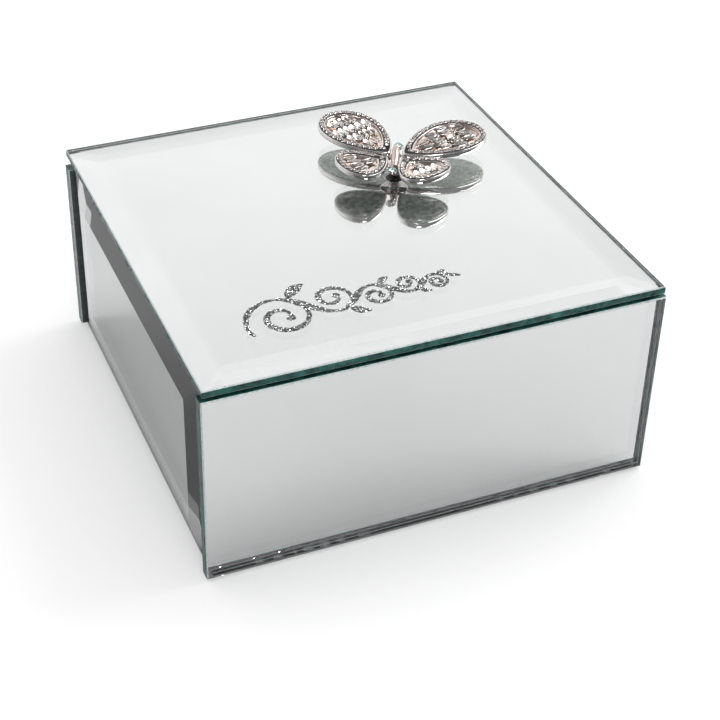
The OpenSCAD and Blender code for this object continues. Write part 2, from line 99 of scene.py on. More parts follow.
def add(tree, kind, **inputs):
    """Adds a node and sets its inputs by name; spaces in a name are written as underscores."""
    made = tree.nodes.new(kind)
    for name, value in inputs.items():
        made.inputs[name.replace("_", " ")].default_value = value
    return made


def ramp(tree, stops):
    """A colour ramp with (place, grey or colour) stops."""
    made = tree.nodes.new("ShaderNodeValToRGB")
    elements = made.color_ramp.elements
    while len(elements) < len(stops):
        elements.new(0.5)
    for element, (place, value) in zip(elements, stops):
        element.position = place
        element.color = (value, value, value, 1) if isinstance(value, float) else (*value, 1)
    return made


def camera_choice(tree, others_see, camera_sees, output):
    """Ends a tree with one look for the camera and another for mirrors and surfaces."""
    ray = add(tree, "ShaderNodeLightPath")
    choose = add(tree, "ShaderNodeMixShader")
    link(tree, ray.outputs["Is Camera Ray"], choose.inputs[0])
    link(tree, others_see.outputs[0], choose.inputs[1])
    link(tree, camera_sees.outputs[0], choose.inputs[2])
    out = add(tree, output)
    link(tree, choose.outputs[0], out.inputs["Surface"])


# %% The world round the box
BRIGHT_WAY = (0.1, 0.99, 0.0)
DARK_SIDE = (0.16, 0.165, 0.17, 1)
# Grey by height, from straight down to straight up: brightest a little above the horizon
SKY = [(0.0, 0.55), (0.5, 0.9), (0.68, 1.2), (0.745, 1.08), (0.82, 0.84), (0.93, 0.5)]


def build_world():
    world = bpy.data.worlds.new("studio")
    world.use_nodes = True
    tree = world.node_tree
    tree.nodes.clear()
    place = add(tree, "ShaderNodeTexCoord")
    split = add(tree, "ShaderNodeSeparateXYZ")
    link(tree, place.outputs["Generated"], split.inputs[0])
    aside = tree.nodes.new("ShaderNodeVectorMath")
    aside.operation = "DOT_PRODUCT"
    aside.inputs[1].default_value = BRIGHT_WAY
    link(tree, place.outputs["Generated"], aside.inputs[0])
    back = add(tree, "ShaderNodeMapRange", From_Min=-0.35, From_Max=0.35)
    link(tree, aside.outputs["Value"], back.inputs["Value"])
    sky = ramp(tree, SKY)
    height = add(tree, "ShaderNodeMapRange", From_Min=-1.0, From_Max=1.0)
    link(tree, split.outputs["Z"], height.inputs["Value"])
    link(tree, height.outputs[0], sky.inputs[0])
    mix = add(tree, "ShaderNodeMix")
    mix.data_type = "RGBA"
    mix.inputs["A"].default_value = DARK_SIDE
    link(tree, back.outputs[0], mix.inputs["Factor"])
    link(tree, sky.outputs[0], mix.inputs["B"])
    room = add(tree, "ShaderNodeBackground", Strength=1.0)
    link(tree, mix.outputs["Result"], room.inputs["Color"])
    white = add(tree, "ShaderNodeBackground", Color=(1, 1, 1, 1), Strength=1.0)
    camera_choice(tree, room, white, "ShaderNodeOutputWorld")
    bpy.context.scene.world = world


# %% Floor
FLOOR_HALF = 4.0
FLOOR_LIFT = 1.36
FLOOR_LIFT_SHARE = 0.55
# How far and how deep the painted shade reaches round the box, on the floor the camera sees
PAINTED_SHADE_REACH = 0.06
PAINTED_SHADE_DEPTH = 0.66


def build_floor():
    mesh = bpy.data.meshes.new("floor")
    corners = [(FLOOR_HALF * x, FLOOR_HALF * y, 0) for x, y in [(-1, -1), (1, -1), (1, 1), (-1, 1)]]
    mesh.from_pydata(corners, [], [(0, 1, 2, 3)])
    floor = bpy.data.objects.new("floor", mesh)
    bpy.context.scene.collection.objects.link(floor)
    material = bpy.data.materials.new("pale floor")
    material.use_nodes = True
    tree = material.node_tree
    tree.nodes.clear()
    paper = add(tree, "ShaderNodeBsdfDiffuse", Color=(0.8, 0.8, 0.8, 1))
    # Occlusion darkens the floor the camera sees close to the box: painted shade, a soft contact shadow
    near = tree.nodes.new("ShaderNodeAmbientOcclusion")
    near.samples = 8
    near.inputs["Distance"].default_value = PAINTED_SHADE_REACH
    soft = add(tree, "ShaderNodeMapRange", From_Min=0.35, From_Max=1.0, To_Min=PAINTED_SHADE_DEPTH, To_Max=1.0)
    link(tree, near.outputs["AO"], soft.inputs["Value"])
    lift = add(tree, "ShaderNodeEmission", Strength=FLOOR_LIFT)
    link(tree, soft.outputs[0], lift.inputs["Color"])
    half = add(tree, "ShaderNodeMixShader", Fac=FLOOR_LIFT_SHARE)
    link(tree, paper.outputs[0], half.inputs[1])
    link(tree, lift.outputs[0], half.inputs[2])
    camera_choice(tree, paper, half, "ShaderNodeOutputMaterial")
    mesh.materials.append(material)


# %% Lamps
BOX_MIDDLE = Vector((0, 0, 0.03))


def soft_lamp(name, place, size, watts):
    """A square soft lamp that looks at the middle of the box."""
    data = bpy.data.lights.new(name, "AREA")
    data.shape = "SQUARE"
    data.size = size
    data.energy = watts
    lamp = bpy.data.objects.new(name, data)
    bpy.context.scene.collection.objects.link(lamp)
    lamp.location = Vector(place)
    look = BOX_MIDDLE - lamp.location
    lamp.rotation_euler = look.to_track_quat("-Z", "Y").to_euler()


build_world()
build_floor()
soft_lamp("key lamp", (0.8, 0.08, 0.95), 0.6, 8.0)
soft_lamp("front lamp", (-0.05, -0.85, 1.25), 0.35, 6.4)
bpy.context.scene.view_settings.view_transform = "Standard"

# %% [markdown]
# ## Shared effects
# Several finishes need the same two things: a colour and a roughness that wander a little over the
# surface, and a fine relief. A shader node group does this once. Each material places the group with
# its own numbers. The place comes in from the material, in metres, so scales are per metre.

# %% Node groups
def new_group(name, inputs, outputs):
    """An empty shader group with named sockets; each is (name, kind)."""
    group = bpy.data.node_groups.new(name, "ShaderNodeTree")
    for socket, kind in inputs:
        group.interface.new_socket(socket, in_out="INPUT", socket_type="NodeSocket" + kind)
    for socket, kind in outputs:
        group.interface.new_socket(socket, in_out="OUTPUT", socket_type="NodeSocket" + kind)
    return group, group.nodes.new("NodeGroupInput"), group.nodes.new("NodeGroupOutput")


def build_mottle():
    """Broad wandering of colour and roughness, with the height that goes with it."""
    group, given, out = new_group(
        "mottle",
        [("Place", "Vector"), ("Scale", "Float"), ("Dark", "Color"), ("Light", "Color"),
         ("Smooth", "Float"), ("Rough", "Float")],
        [("Colour", "Color"), ("Roughness", "Float"), ("Height", "Float")],
    )
    cloud = add(group, "ShaderNodeTexNoise", Detail=6.0, Roughness=0.6)
    link(group, given.outputs["Place"], cloud.inputs["Vector"])
    link(group, given.outputs["Scale"], cloud.inputs["Scale"])
    spread = add(group, "ShaderNodeMapRange", From_Min=0.3, From_Max=0.7)
    link(group, cloud.outputs[0], spread.inputs["Value"])
    colour = add(group, "ShaderNodeMix")
    colour.data_type = "RGBA"
    link(group, spread.outputs[0], colour.inputs["Factor"])
    link(group, given.outputs["Dark"], colour.inputs["A"])
    link(group, given.outputs["Light"], colour.inputs["B"])
    rough = add(group, "ShaderNodeMapRange")
    link(group, spread.outputs[0], rough.inputs["Value"])
    link(group, given.outputs["Smooth"], rough.inputs["To Min"])
    link(group, given.outputs["Rough"], rough.inputs["To Max"])
    link(group, colour.outputs["Result"], out.inputs["Colour"])
    link(group, rough.outputs[0], out.inputs["Roughness"])
    link(group, spread.outputs[0], out.inputs["Height"])
    return group


def build_cells():
    """Small facets or fibres: each cell has its own tone, with dark lines between cells."""
    group, given, out = new_group(
        "cells",
        [("Place", "Vector"), ("Scale", "Float"), ("Dark", "Color"), ("Light", "Color")],
        [("Colour", "Color"), ("Tone", "Float"), ("Height", "Float")],
    )
    cell = add(group, "ShaderNodeTexVoronoi")
    link(group, given.outputs["Place"], cell.inputs["Vector"])
    link(group, given.outputs["Scale"], cell.inputs["Scale"])
    split = add(group, "ShaderNodeSeparateColor")
    link(group, cell.outputs["Color"], split.inputs[0])
    colour = add(group, "ShaderNodeMix")
    colour.data_type = "RGBA"
    link(group, split.outputs[0], colour.inputs["Factor"])
    link(group, given.outputs["Dark"], colour.inputs["A"])
    link(group, given.outputs["Light"], colour.inputs["B"])
    link(group, colour.outputs["Result"], out.inputs["Colour"])
    link(group, split.outputs[0], out.inputs["Tone"])
    link(group, cell.outputs["Distance"], out.inputs["Height"])
    return group


MOTTLE = build_mottle()
CELLS = build_cells()
print("groups:", MOTTLE.name, CELLS.name)

# %% [markdown]
# Each finish below is one Principled shader. What is the same all over is set on the shader's own
# socket. What wanders comes from a group. A helper places a group and fills its sockets.

# %% Material helpers
def new_finish(name, **fixed):
    """A material with one Principled shader; fixed values are set on its sockets."""
    material = bpy.data.materials.new(name)
    material.use_nodes = True
    tree = material.node_tree
    shader = tree.nodes["Principled BSDF"]
    for socket, value in fixed.items():
        shader.inputs[socket.replace("_", " ")].default_value = value
    place = tree.nodes.new("ShaderNodeTexCoord")
    return material, tree, shader, place.outputs["Object"]


def place_group(tree, group, where, **values):
    """Places a shared group in a material, reading the given coordinates."""
    made = tree.nodes.new("ShaderNodeGroup")
    made.node_tree = group
    link(tree, where, made.inputs["Place"])
    for socket, value in values.items():
        is_colour = isinstance(value, tuple)
        made.inputs[socket].default_value = (*value, 1) if is_colour else value
    return made


def relief(tree, shader, height, strength, depth):
    """Turns a height into the shader's surface relief; depth is in metres."""
    bump = tree.nodes.new("ShaderNodeBump")
    bump.inputs["Strength"].default_value = strength
    bump.inputs["Distance"].default_value = depth
    link(tree, height, bump.inputs["Height"])
    link(tree, bump.outputs[0], shader.inputs["Normal"])


def dress(tree, shader, group):
    """Lets a placed group give the shader its colour and its roughness."""
    link(tree, group.outputs["Colour"], shader.inputs["Base Color"])
    link(tree, group.outputs["Roughness"], shader.inputs["Roughness"])


def multiplied(tree, first, second, share):
    """A colour darkened by a second one; share says how strongly."""
    both = add(tree, "ShaderNodeMix")
    both.data_type = "RGBA"
    both.blend_type = "MULTIPLY"
    both.inputs["Factor"].default_value = share
    link(tree, first, both.inputs["A"])
    link(tree, second, both.inputs["B"])
    return both.outputs["Result"]


def cell_tones(tree, shader, where, scale, shades):
    """Gives each small cell its own tone from a ramp; returns the cells and the ramp."""
    cell = place_group(tree, CELLS, where, Scale=scale, Dark=(0.0, 0.0, 0.0), Light=(1.0, 1.0, 1.0))
    tone = ramp(tree, shades)
    link(tree, cell.outputs["Tone"], tone.inputs[0])
    link(tree, tone.outputs[0], shader.inputs["Base Color"])
    return cell, tone


def stretched(tree, where, scale):
    """The same coordinates, scaled differently along each axis."""
    mapping = tree.nodes.new("ShaderNodeMapping")
    mapping.inputs["Scale"].default_value = scale
    link(tree, where, mapping.inputs["Vector"])
    return mapping.outputs[0]


# %% [markdown]
# ## Finishes of the mirror glass
# A mirror is clear glass with a silver film on its back, and paint over the film. Three finishes and
# two for the edge make it: polished glass, silver, backing paint, the ground edge, which looks dark
# green because one looks along the glass, and the frosted arris ground along each sharp corner.

# %% Mirror glass finishes
def glass_finish():
    material, tree, shader, where = new_finish(
        "polished glass", IOR=1.52, Transmission_Weight=1.0, Metallic=0.0
    )
    film = place_group(
        tree, MOTTLE, where, Scale=38.0, Dark=(0.97, 0.984, 0.979), Light=(0.988, 0.998, 0.995),
        Smooth=0.0, Rough=0.012,
    )
    dress(tree, shader, film)
    return material


def silver_finish():
    material, tree, shader, where = new_finish("mirror silver", Metallic=1.0)
    film = place_group(
        tree, MOTTLE, where, Scale=16.0, Dark=(0.81, 0.815, 0.818), Light=(0.85, 0.855, 0.858),
        Smooth=0.0, Rough=0.02,
    )
    dress(tree, shader, film)
    return material


def backing_finish():
    material, tree, shader, where = new_finish("backing paint", Specular_IOR_Level=0.3)
    paint = place_group(
        tree, MOTTLE, where, Scale=420.0, Dark=(0.10, 0.115, 0.12), Light=(0.17, 0.185, 0.19),
        Smooth=0.5, Rough=0.75,
    )
    dress(tree, shader, paint)
    relief(tree, shader, paint.outputs["Height"], 0.3, 0.0001)
    return material


def edge_finish():
    material, tree, shader, where = new_finish(
        "ground glass edge", IOR=1.52, Specular_IOR_Level=0.3, Coat_Weight=0.05, Coat_Roughness=0.1
    )
    flakes = place_group(
        tree, CELLS, where, Scale=900.0, Dark=(0.1, 0.22, 0.2), Light=(1.0, 1.0, 1.0),
    )
    depth = place_group(
        tree, MOTTLE, where, Scale=200.0, Dark=(0.002, 0.012, 0.013), Light=(0.03, 0.215, 0.185),
        Smooth=0.12, Rough=0.4,
    )
    both = multiplied(tree, depth.outputs["Colour"], flakes.outputs["Tone"], 0.35)
    link(tree, both, shader.inputs["Base Color"])
    link(tree, depth.outputs["Roughness"], shader.inputs["Roughness"])
    relief(tree, shader, flakes.outputs["Height"], 0.35, 0.0003)
    return material


def arris_finish():
    material, tree, shader, where = new_finish("frosted arris", IOR=1.52)
    frost = place_group(
        tree, MOTTLE, where, Scale=1500.0, Dark=(0.42, 0.52, 0.49), Light=(0.88, 0.94, 0.92),
        Smooth=0.25, Rough=0.5,
    )
    dress(tree, shader, frost)
    relief(tree, shader, frost.outputs["Height"], 0.4, 0.0001)
    return material


GLASS = glass_finish()
SILVER = silver_finish()
BACKING = backing_finish()
EDGE = edge_finish()
ARRIS = arris_finish()
print("mirror finishes:", [m.name for m in (GLASS, SILVER, BACKING, EDGE, ARRIS)])

# %% [markdown]
# ## A mirror panel
# Each panel is a closed body of glass: silvered back, ground edge, bevel and face. The sizes are read
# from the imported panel, so the bevel and the rim are the designed ones. The grinding wheel leaves
# small shell-shaped chips along the rim. They are pressed into a fine grid of points on the rim, and
# only inwards, so that the panel keeps its size. The front and back panels are flat, with a polished
# lower edge, and the lid and the two side panels have a wide bevel.

# %% Measure a flat node along its own axes
X = Vector((1, 0, 0))
Y = Vector((0, 1, 0))
Z = Vector((0, 0, 1))


class Plate:
    """A flat node seen along right, up and out, which are directions of the frame."""

    def __init__(self, node, right, up):
        self.right = right
        self.up = up
        self.out = right.cross(up)
        points = [v.co for v in nodes[node].data.vertices]
        across = [p.dot(right) for p in points]
        along = [p.dot(up) for p in points]
        deep = [p.dot(self.out) for p in points]
        self.width = max(across) - min(across)
        self.height = max(along) - min(along)
        self.thick = max(deep) - min(deep)
        middle_u = (max(across) + min(across)) / 2
        middle_v = (max(along) + min(along)) / 2
        self.origin = right * middle_u + up * middle_v + self.out * min(deep)
        top = max(deep) - self.thick * 0.01
        face = [a for a, d in zip(across, deep) if d > top]
        self.bevel = (self.width - (max(face) - min(face))) / 2
        side = [d for a, d in zip(across, deep) if a > max(across) - 1e-6]
        self.rim = max(side) - min(deep)

    def at(self, u, v, w):
        return self.origin + self.right * u + self.up * v + self.out * w


lid_plate = Plate("lid_glass", X, Y)
print("lid bevel and rim in mm:", round(lid_plate.bevel / MM, 2), round(lid_plate.rim / MM, 2))

# %% Helpers that make a piece
def make_piece(name, points, faces, finishes, face_finish, body, stands_for=(), smooth=False):
    """A mesh piece that rides on a body. face_finish gives each face its place in finishes."""
    mesh = bpy.data.meshes.new(name)
    mesh.from_pydata([tuple(p) for p in points], [], faces)
    for finish in finishes:
        mesh.materials.append(finish)
    mesh.polygons.foreach_set("material_index", list(face_finish))
    mesh.polygons.foreach_set("use_smooth", [smooth] * len(mesh.polygons))
    mesh.update()
    piece = bpy.data.objects.new(name, mesh)
    bpy.context.scene.collection.objects.link(piece)
    return settle(piece, body, stands_for)


def settle(piece, body, stands_for=()):
    """Makes a finished piece ride on its body and stand for its nodes."""
    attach(piece, body)
    if stands_for:
        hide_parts(*stands_for)
    return piece


def rectangle_ring(width, height, columns):
    """Points round a rectangle, anticlockwise from the lower left, as an array of (u, v)."""
    half = np.array([width / 2, height / 2])
    corners = np.array([(-1, -1), (1, -1), (1, 1), (-1, 1)]) * half
    share = np.arange(columns)[:, None] / columns
    sides = [corners[k] + share * (corners[(k + 1) % 4] - corners[k]) for k in range(4)]
    return np.concatenate(sides)


def ring_faces(rings, count):
    """Four-sided faces that join each ring of points to the next."""
    faces = []
    for level in range(rings - 1):
        for j in range(count):
            k = (j + 1) % count
            a = level * count
            faces.append((a + j, a + k, a + count + k, a + count + j))
    return faces


# %% Chips along a ground rim
CHIP_PITCH = 1.3 * MM
CHIP_RADII = (0.35, 1.5)
CHIP_BITES = (0.4, 1.0)
CHIP_FADE = 1.2 * MM
INWARD = np.array([(0, 1), (-1, 0), (0, -1), (1, 0)])


def chip_depths(run, level, rim, length, seed, depth):
    """How deep the chips go at each running length, for one level of the rim."""
    dice = random.Random(seed)
    found = np.zeros(len(run))
    for _ in range(int(length / CHIP_PITCH)):
        middle = dice.random() * length
        radius = dice.uniform(*CHIP_RADII) * MM
        from_edge = dice.choice((0.0, rim, rim))
        bite = depth * dice.uniform(*CHIP_BITES)
        away = np.hypot(run - middle, level - from_edge) / radius
        found = np.maximum(found, bite * np.clip(1 - away**2, 0, None))
    to_corner = np.minimum(run, length - run)
    return found * np.clip(to_corner / CHIP_FADE, 0, 1)


def chipped(ring, plate, level, rim, columns, seed, chip):
    """The ring with its chips pressed in, side by side."""
    moved = ring.copy()
    for side in range(4):
        length = plate.width if side % 2 == 0 else plate.height
        run = np.arange(columns) / columns * length
        depth = chip_depths(run, level, rim, length, seed * 4 + side, chip)
        moved[side * columns:(side + 1) * columns] += depth[:, None] * INWARD[side]
    return moved


# %% Build one panel
ARRIS_W = 0.28 * MM
SILVER_LIFT = 0.06 * MM
BACKING_LOW = 0.012 * MM
BACKING_HIGH = 0.045 * MM
BACK_STRIP = 3 * MM
FLAT_BEVEL = 1 * MM
RIM_ROWS = 6
COLUMN_PITCH = 0.45 * MM
PANEL_FINISHES = [GLASS, SILVER, BACKING, EDGE, ARRIS]
ON_GLASS, ON_SILVER, ON_BACKING, ON_EDGE, ON_ARRIS = range(5)


def mirror_panel(node, right, up, body, chip, seed):
    plate = Plate(node, right, up)
    columns = int(max(plate.width, plate.height) / COLUMN_PITCH)
    is_flat = plate.bevel < FLAT_BEVEL
    rim_top = plate.rim if is_flat else plate.rim - ARRIS_W
    # (inset, level, finish of the strip below this ring)
    first_row = SILVER_LIFT + ARRIS_W
    rings = [(ARRIS_W, SILVER_LIFT, None), (0.0, first_row, ON_ARRIS)]
    for row in range(1, RIM_ROWS + 1):
        rings.append((0.0, first_row + (rim_top - first_row) * row / RIM_ROWS, ON_EDGE))
    if not is_flat:
        slope = (plate.thick - plate.rim) / plate.bevel
        rings.append((ARRIS_W, plate.rim + ARRIS_W * slope, ON_ARRIS))

    points = []
    for number, (inset, level, _) in enumerate(rings):
        ring = rectangle_ring(plate.width - 2 * inset, plate.height - 2 * inset, columns)
        if inset == 0.0 and 1 < number < RIM_ROWS + 1:
            ring = chipped(ring, plate, level, rim_top, columns, seed, chip)
        points += [plate.at(u, v, level) for u, v in ring]
    count = 4 * columns
    faces = ring_faces(len(rings), count)
    finish = []
    for _, _, strip_finish in rings[1:]:
        lower_edge = ON_GLASS if is_flat and strip_finish == ON_EDGE else strip_finish
        finish += [lower_edge] * columns + [strip_finish] * (count - columns)

    # Silvered back, one face of four corners and four strips round it
    def corner_strip(start, inset, level, finish_place, flip):
        """Joins a fine ring to four corner points; returns the corners' indices."""
        base = len(points)
        for u, v in rectangle_ring(plate.width - 2 * inset, plate.height - 2 * inset, 1):
            points.append(plate.at(u, v, level))
        for side in range(4):
            fine = [start + (side * columns + j) % count for j in range(columns + 1)]
            strip = fine + [base + (side + 1) % 4, base + side]
            faces.append(tuple(reversed(strip)) if flip else tuple(strip))
            finish.append(finish_place)
        return [base, base + 1, base + 2, base + 3]

    back = corner_strip(0, BACK_STRIP, SILVER_LIFT, ON_SILVER, True)
    faces.append(tuple(reversed(back)))
    finish.append(ON_SILVER)
    last = (len(rings) - 1) * count
    face = corner_strip(last, plate.bevel, plate.thick, ON_ARRIS if is_flat else ON_GLASS, False)
    faces.append(tuple(face))
    finish.append(ON_GLASS)

    # Paint over the silver, a film of its own
    base = len(points)
    for level in (BACKING_LOW, BACKING_HIGH):
        for u, v in rectangle_ring(plate.width - 2 * ARRIS_W, plate.height - 2 * ARRIS_W, 1):
            points.append(plate.at(u, v, level))
    faces += [(base + 3, base + 2, base + 1, base), (base + 4, base + 5, base + 6, base + 7)]
    faces += [(base + j, base + (j + 1) % 4, base + 4 + (j + 1) % 4, base + 4 + j) for j in range(4)]
    finish += [ON_BACKING] * 6
    make_piece(
        "mirror_" + node, points, faces, PANEL_FINISHES, finish, body, [node]
    )
    print("mirror_" + node, "faces:", len(faces))


# %% The five panels
LID_CHIP = 0.34 * MM
SIDE_CHIP = 0.16 * MM
mirror_panel("lid_glass", X, Y, "lid", LID_CHIP, 1)
sides = [("front", X), ("back", -X), ("left", -Y), ("right", Y)]
for seed, (side, right) in enumerate(sides, start=2):
    mirror_panel(side + "_glass", right, Z, "box", SIDE_CHIP, seed)

# %% [markdown]
# ## Boards and hinges
# The boards behind the glass are covered with black paper. Their edges show in the seam under the lid
# and at the corners. The hinges are stamped steel with a satin plating, brushed along their length.
# These pieces already have their true shape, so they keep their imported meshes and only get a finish.

# %% Board and hinge finishes
def paper_finish():
    material, tree, shader, where = new_finish("black covering paper", Specular_IOR_Level=0.35)
    paper = place_group(
        tree, MOTTLE, where, Scale=700.0, Dark=(0.012, 0.013, 0.015), Light=(0.032, 0.033, 0.036),
        Smooth=0.55, Rough=0.85,
    )
    dress(tree, shader, paper)
    relief(tree, shader, paper.outputs["Height"], 0.4, 0.0002)
    return material


def brushed_finish(name, dark, light, brush):
    material, tree, shader, where = new_finish(name, Metallic=1.0)
    lines = place_group(
        tree, MOTTLE, stretched(tree, where, brush), Scale=1000.0, Dark=dark, Light=light,
        Smooth=0.18, Rough=0.36,
    )
    dress(tree, shader, lines)
    relief(tree, shader, lines.outputs["Height"], 0.15, 0.00005)
    return material


PAPER = paper_finish()
HINGE_STEEL = brushed_finish("satin hinge plating", (0.5, 0.51, 0.52), (0.72, 0.73, 0.74), (0.1, 1.5, 1.5))
SCREW_STEEL = brushed_finish("screw plating", (0.58, 0.58, 0.57), (0.8, 0.8, 0.79), (1.5, 1.5, 0.3))
PIN_STEEL = brushed_finish("hinge pin plating", (0.6, 0.6, 0.6), (0.78, 0.78, 0.78), (0.3, 2.0, 2.0))


def finish_nodes(names, finish):
    """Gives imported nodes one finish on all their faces."""
    for name in names:
        mesh = nodes[name].data
        mesh.materials.clear()
        mesh.materials.append(finish)


boards = ["base_board", "front_wall", "back_wall", "left_wall", "right_wall", "lid_board"]
finish_nodes(boards, PAPER)
finish_nodes([n for n in nodes if n.startswith("hinge_") and n.endswith("_leaf")], HINGE_STEEL)
finish_nodes([n for n in nodes if n.startswith("hinge_") and n.endswith("_pin")], PIN_STEEL)
finish_nodes([n for n in nodes if n.endswith("_screws")], SCREW_STEEL)
print("boards finished:", len(boards))

# %% [markdown]
# ## Velvet and felt
# Velvet is a short pile: it is dark from above and glows at grazing angles, which is what sheen does.
# Fine cells give the pile its grain, and a slow mottle shows where the nap has been brushed. Felt is
# the same idea with coarser, matted fibres and no direction.

# %% Cloth finishes
def cloth_finish(name, dark, light, sheen, grain, nap, depth):
    material, tree, shader, where = new_finish(
        name, Roughness=0.9, Sheen_Weight=sheen, Sheen_Roughness=0.35, Specular_IOR_Level=0.15
    )
    pile = place_group(tree, CELLS, where, Scale=grain, Dark=dark, Light=light)
    brushed = place_group(
        tree, MOTTLE, where, Scale=nap, Dark=(0.62, 0.62, 0.64), Light=(1.0, 1.0, 1.0),
        Smooth=0.8, Rough=1.0,
    )
    both = multiplied(tree, pile.outputs["Colour"], brushed.outputs["Colour"], 1.0)
    link(tree, both, shader.inputs["Base Color"])
    link(tree, brushed.outputs["Roughness"], shader.inputs["Roughness"])
    relief(tree, shader, pile.outputs["Height"], 0.6, depth)
    return material


VELVET = cloth_finish(
    "black velvet", (0.012, 0.012, 0.015), (0.045, 0.045, 0.052), 0.5, 3200.0, 60.0, 0.0002
)
FELT = cloth_finish(
    "black felt", (0.018, 0.018, 0.02), (0.06, 0.06, 0.064), 0.25, 1800.0, 150.0, 0.0003
)
print("cloth finishes:", VELVET.name, FELT.name)

# %% [markdown]
# The lining panels are card wrapped in velvet over a thin wadding, so their edges are round and their
# middles stand a little proud. A grid of points is lifted by a formula and closed at the back. The two
# large pads are then inflated by a short cloth simulation: the rim is pinned, the cloth is a little
# larger than its frame, and the swelling is scaled to fit the space that the pad has.

# %% Soft panels
PAD_STEPS = 56
SWELL_FRAMES = 20
# Cloth is solved ten times larger, because the solver is unsteady on pieces a few millimetres thick
CLOTH_SCALE = 10.0
CLOTH_PRESSURE = 4.0
CLOTH_SHRINK = -0.03
MOST_SINK = 0.2


def soft_panel(node, right, up, body, finish, crown=0.25, edge=0.5, swell=0.0, steps=28):
    """A padded panel in its node's space; crown and swell are shares of its thickness."""
    plate = Plate(node, right, up)
    edge_r = plate.thick * edge
    flat = plate.thick * (1 - crown - swell)
    shares = [-math.cos(math.pi * i / steps) for i in range(steps + 1)]
    points = []
    for b in shares:
        for a in shares:
            u = a * plate.width / 2
            v = b * plate.height / 2
            inside = min(plate.width / 2 - abs(u), plate.height / 2 - abs(v))
            short = max(edge_r - inside, 0.0) / edge_r
            dome = (1 - a**4) * (1 - b**4)
            level = flat - edge_r * (1 - math.sqrt(max(1 - short**2, 0.0)))
            points.append((u, v, level + plate.thick * crown * dome))
    faces = []
    line = steps + 1
    for j in range(steps):
        for i in range(steps):
            k = j * line + i
            faces.append((k, k + 1, k + 1 + line, k + line))
    back_down = range(steps - 1, -1, -1)
    rim = list(range(line)) + [j * line + steps for j in range(1, line)]
    rim += [steps * line + i for i in back_down] + [j * line for j in back_down if j > 0]
    base = len(points)
    for k in rim:
        points.append((points[k][0], points[k][1], 0.0))
    count = len(rim)
    for j in range(count):
        k = (j + 1) % count
        faces.append((rim[k], rim[j], base + j, base + k))
    faces.append(tuple(base + j for j in range(count - 1, -1, -1)))
    if swell:
        points = swollen(points, faces, len(shares) ** 2, set(rim), plate.thick * swell)
    points = [plate.at(*p) for p in points]
    piece = make_piece(
        "soft_" + node, points, faces, [finish], [0] * len(faces), body, [node],
        smooth=True,
    )
    return piece


def swollen(points, faces, top_count, rim, most):
    """Lets a panel's top swell as cloth, pinned at its rim, and scales the swelling to fit."""
    mesh = bpy.data.meshes.new("swelling")
    mesh.from_pydata([tuple(CLOTH_SCALE * c for c in p) for p in points], [], faces)
    cloth = bpy.data.objects.new("swelling", mesh)
    bpy.context.scene.collection.objects.link(cloth)
    pinned = [k for k in range(len(points)) if k >= top_count or k in rim]
    cloth.vertex_groups.new(name="pinned").add(pinned, 1.0, "REPLACE")
    modifier = cloth.modifiers.new("cloth", "CLOTH")
    modifier.settings.vertex_group_mass = "pinned"
    modifier.settings.use_pressure = True
    modifier.settings.uniform_pressure_force = CLOTH_PRESSURE
    modifier.settings.effector_weights.gravity = 0.0
    modifier.settings.shrink_min = CLOTH_SHRINK
    modifier.settings.quality = 6
    modifier.point_cache.frame_start = 1
    modifier.point_cache.frame_end = SWELL_FRAMES
    for number in range(1, SWELL_FRAMES + 1):
        bpy.context.scene.frame_set(number)
    shape = cloth.evaluated_get(bpy.context.evaluated_depsgraph_get()).to_mesh()
    lifts = [shape.vertices[k].co.z / CLOTH_SCALE - points[k][2] for k in range(top_count)]
    highest = max(max(lifts), 1e-6)
    lifts = [max(lift, -MOST_SINK * highest) * most / highest for lift in lifts]
    lifts += [0.0] * (len(points) - top_count)
    result = [(p[0], p[1], p[2] + lift) for p, lift in zip(points, lifts)]
    bpy.data.objects.remove(cloth)
    bpy.context.scene.frame_set(1)
    return result


soft_panel("floor_pad", X, Y, "box", VELVET, crown=0.12, swell=0.3, steps=PAD_STEPS)
soft_panel("lid_pad", X, -Y, "lid", VELVET, crown=0.12, swell=0.35, steps=PAD_STEPS)
for side, right in sides:
    soft_panel(side + "_lining", -right, Z, "box", VELVET)
soft_panel("lid_lining", X, -Y, "lid", VELVET, crown=0.1, edge=0.6)
soft_panel("base_felt", X, -Y, "box", FELT, crown=0.0, edge=0.4)

# %% [markdown]
# ## Glitter scroll
# The scroll is a film of clear lacquer full of silver glitter. It fills a groove in the back of the
# lid glass, so it is seen once, through the glass. The film itself is the imported piece. Thousands of
# tiny six-sided flakes lie in it, each tipped its own way, which makes it sparkle. The film and the
# flakes also carry painted glints and painted shade: each small cell gets its own grey, from near
# black to near white.
# Geometry Nodes scatter the flakes over the film's top: a random scatter is one node there, and the
# seed keeps it the same on every run.

# %% Glitter finishes
def glitter_with_painted_glints(name, shades, rough, metal):
    material, tree, shader, where = new_finish(name, Metallic=metal, Coat_Weight=0.5, Coat_Roughness=0.08)
    # Each small cell's grey, from near black to near white, is painted glints and painted shade
    cell, tone = cell_tones(tree, shader, where, 2400.0, shades)
    tone.color_ramp.interpolation = "CONSTANT"
    worn = place_group(
        tree, MOTTLE, where, Scale=900.0, Dark=(0.3, 0.3, 0.3), Light=(1.0, 1.0, 1.0),
        Smooth=rough * 0.6, Rough=rough,
    )
    link(tree, worn.outputs["Roughness"], shader.inputs["Roughness"])
    relief(tree, shader, cell.outputs["Height"], 0.3, 0.0001)
    return material


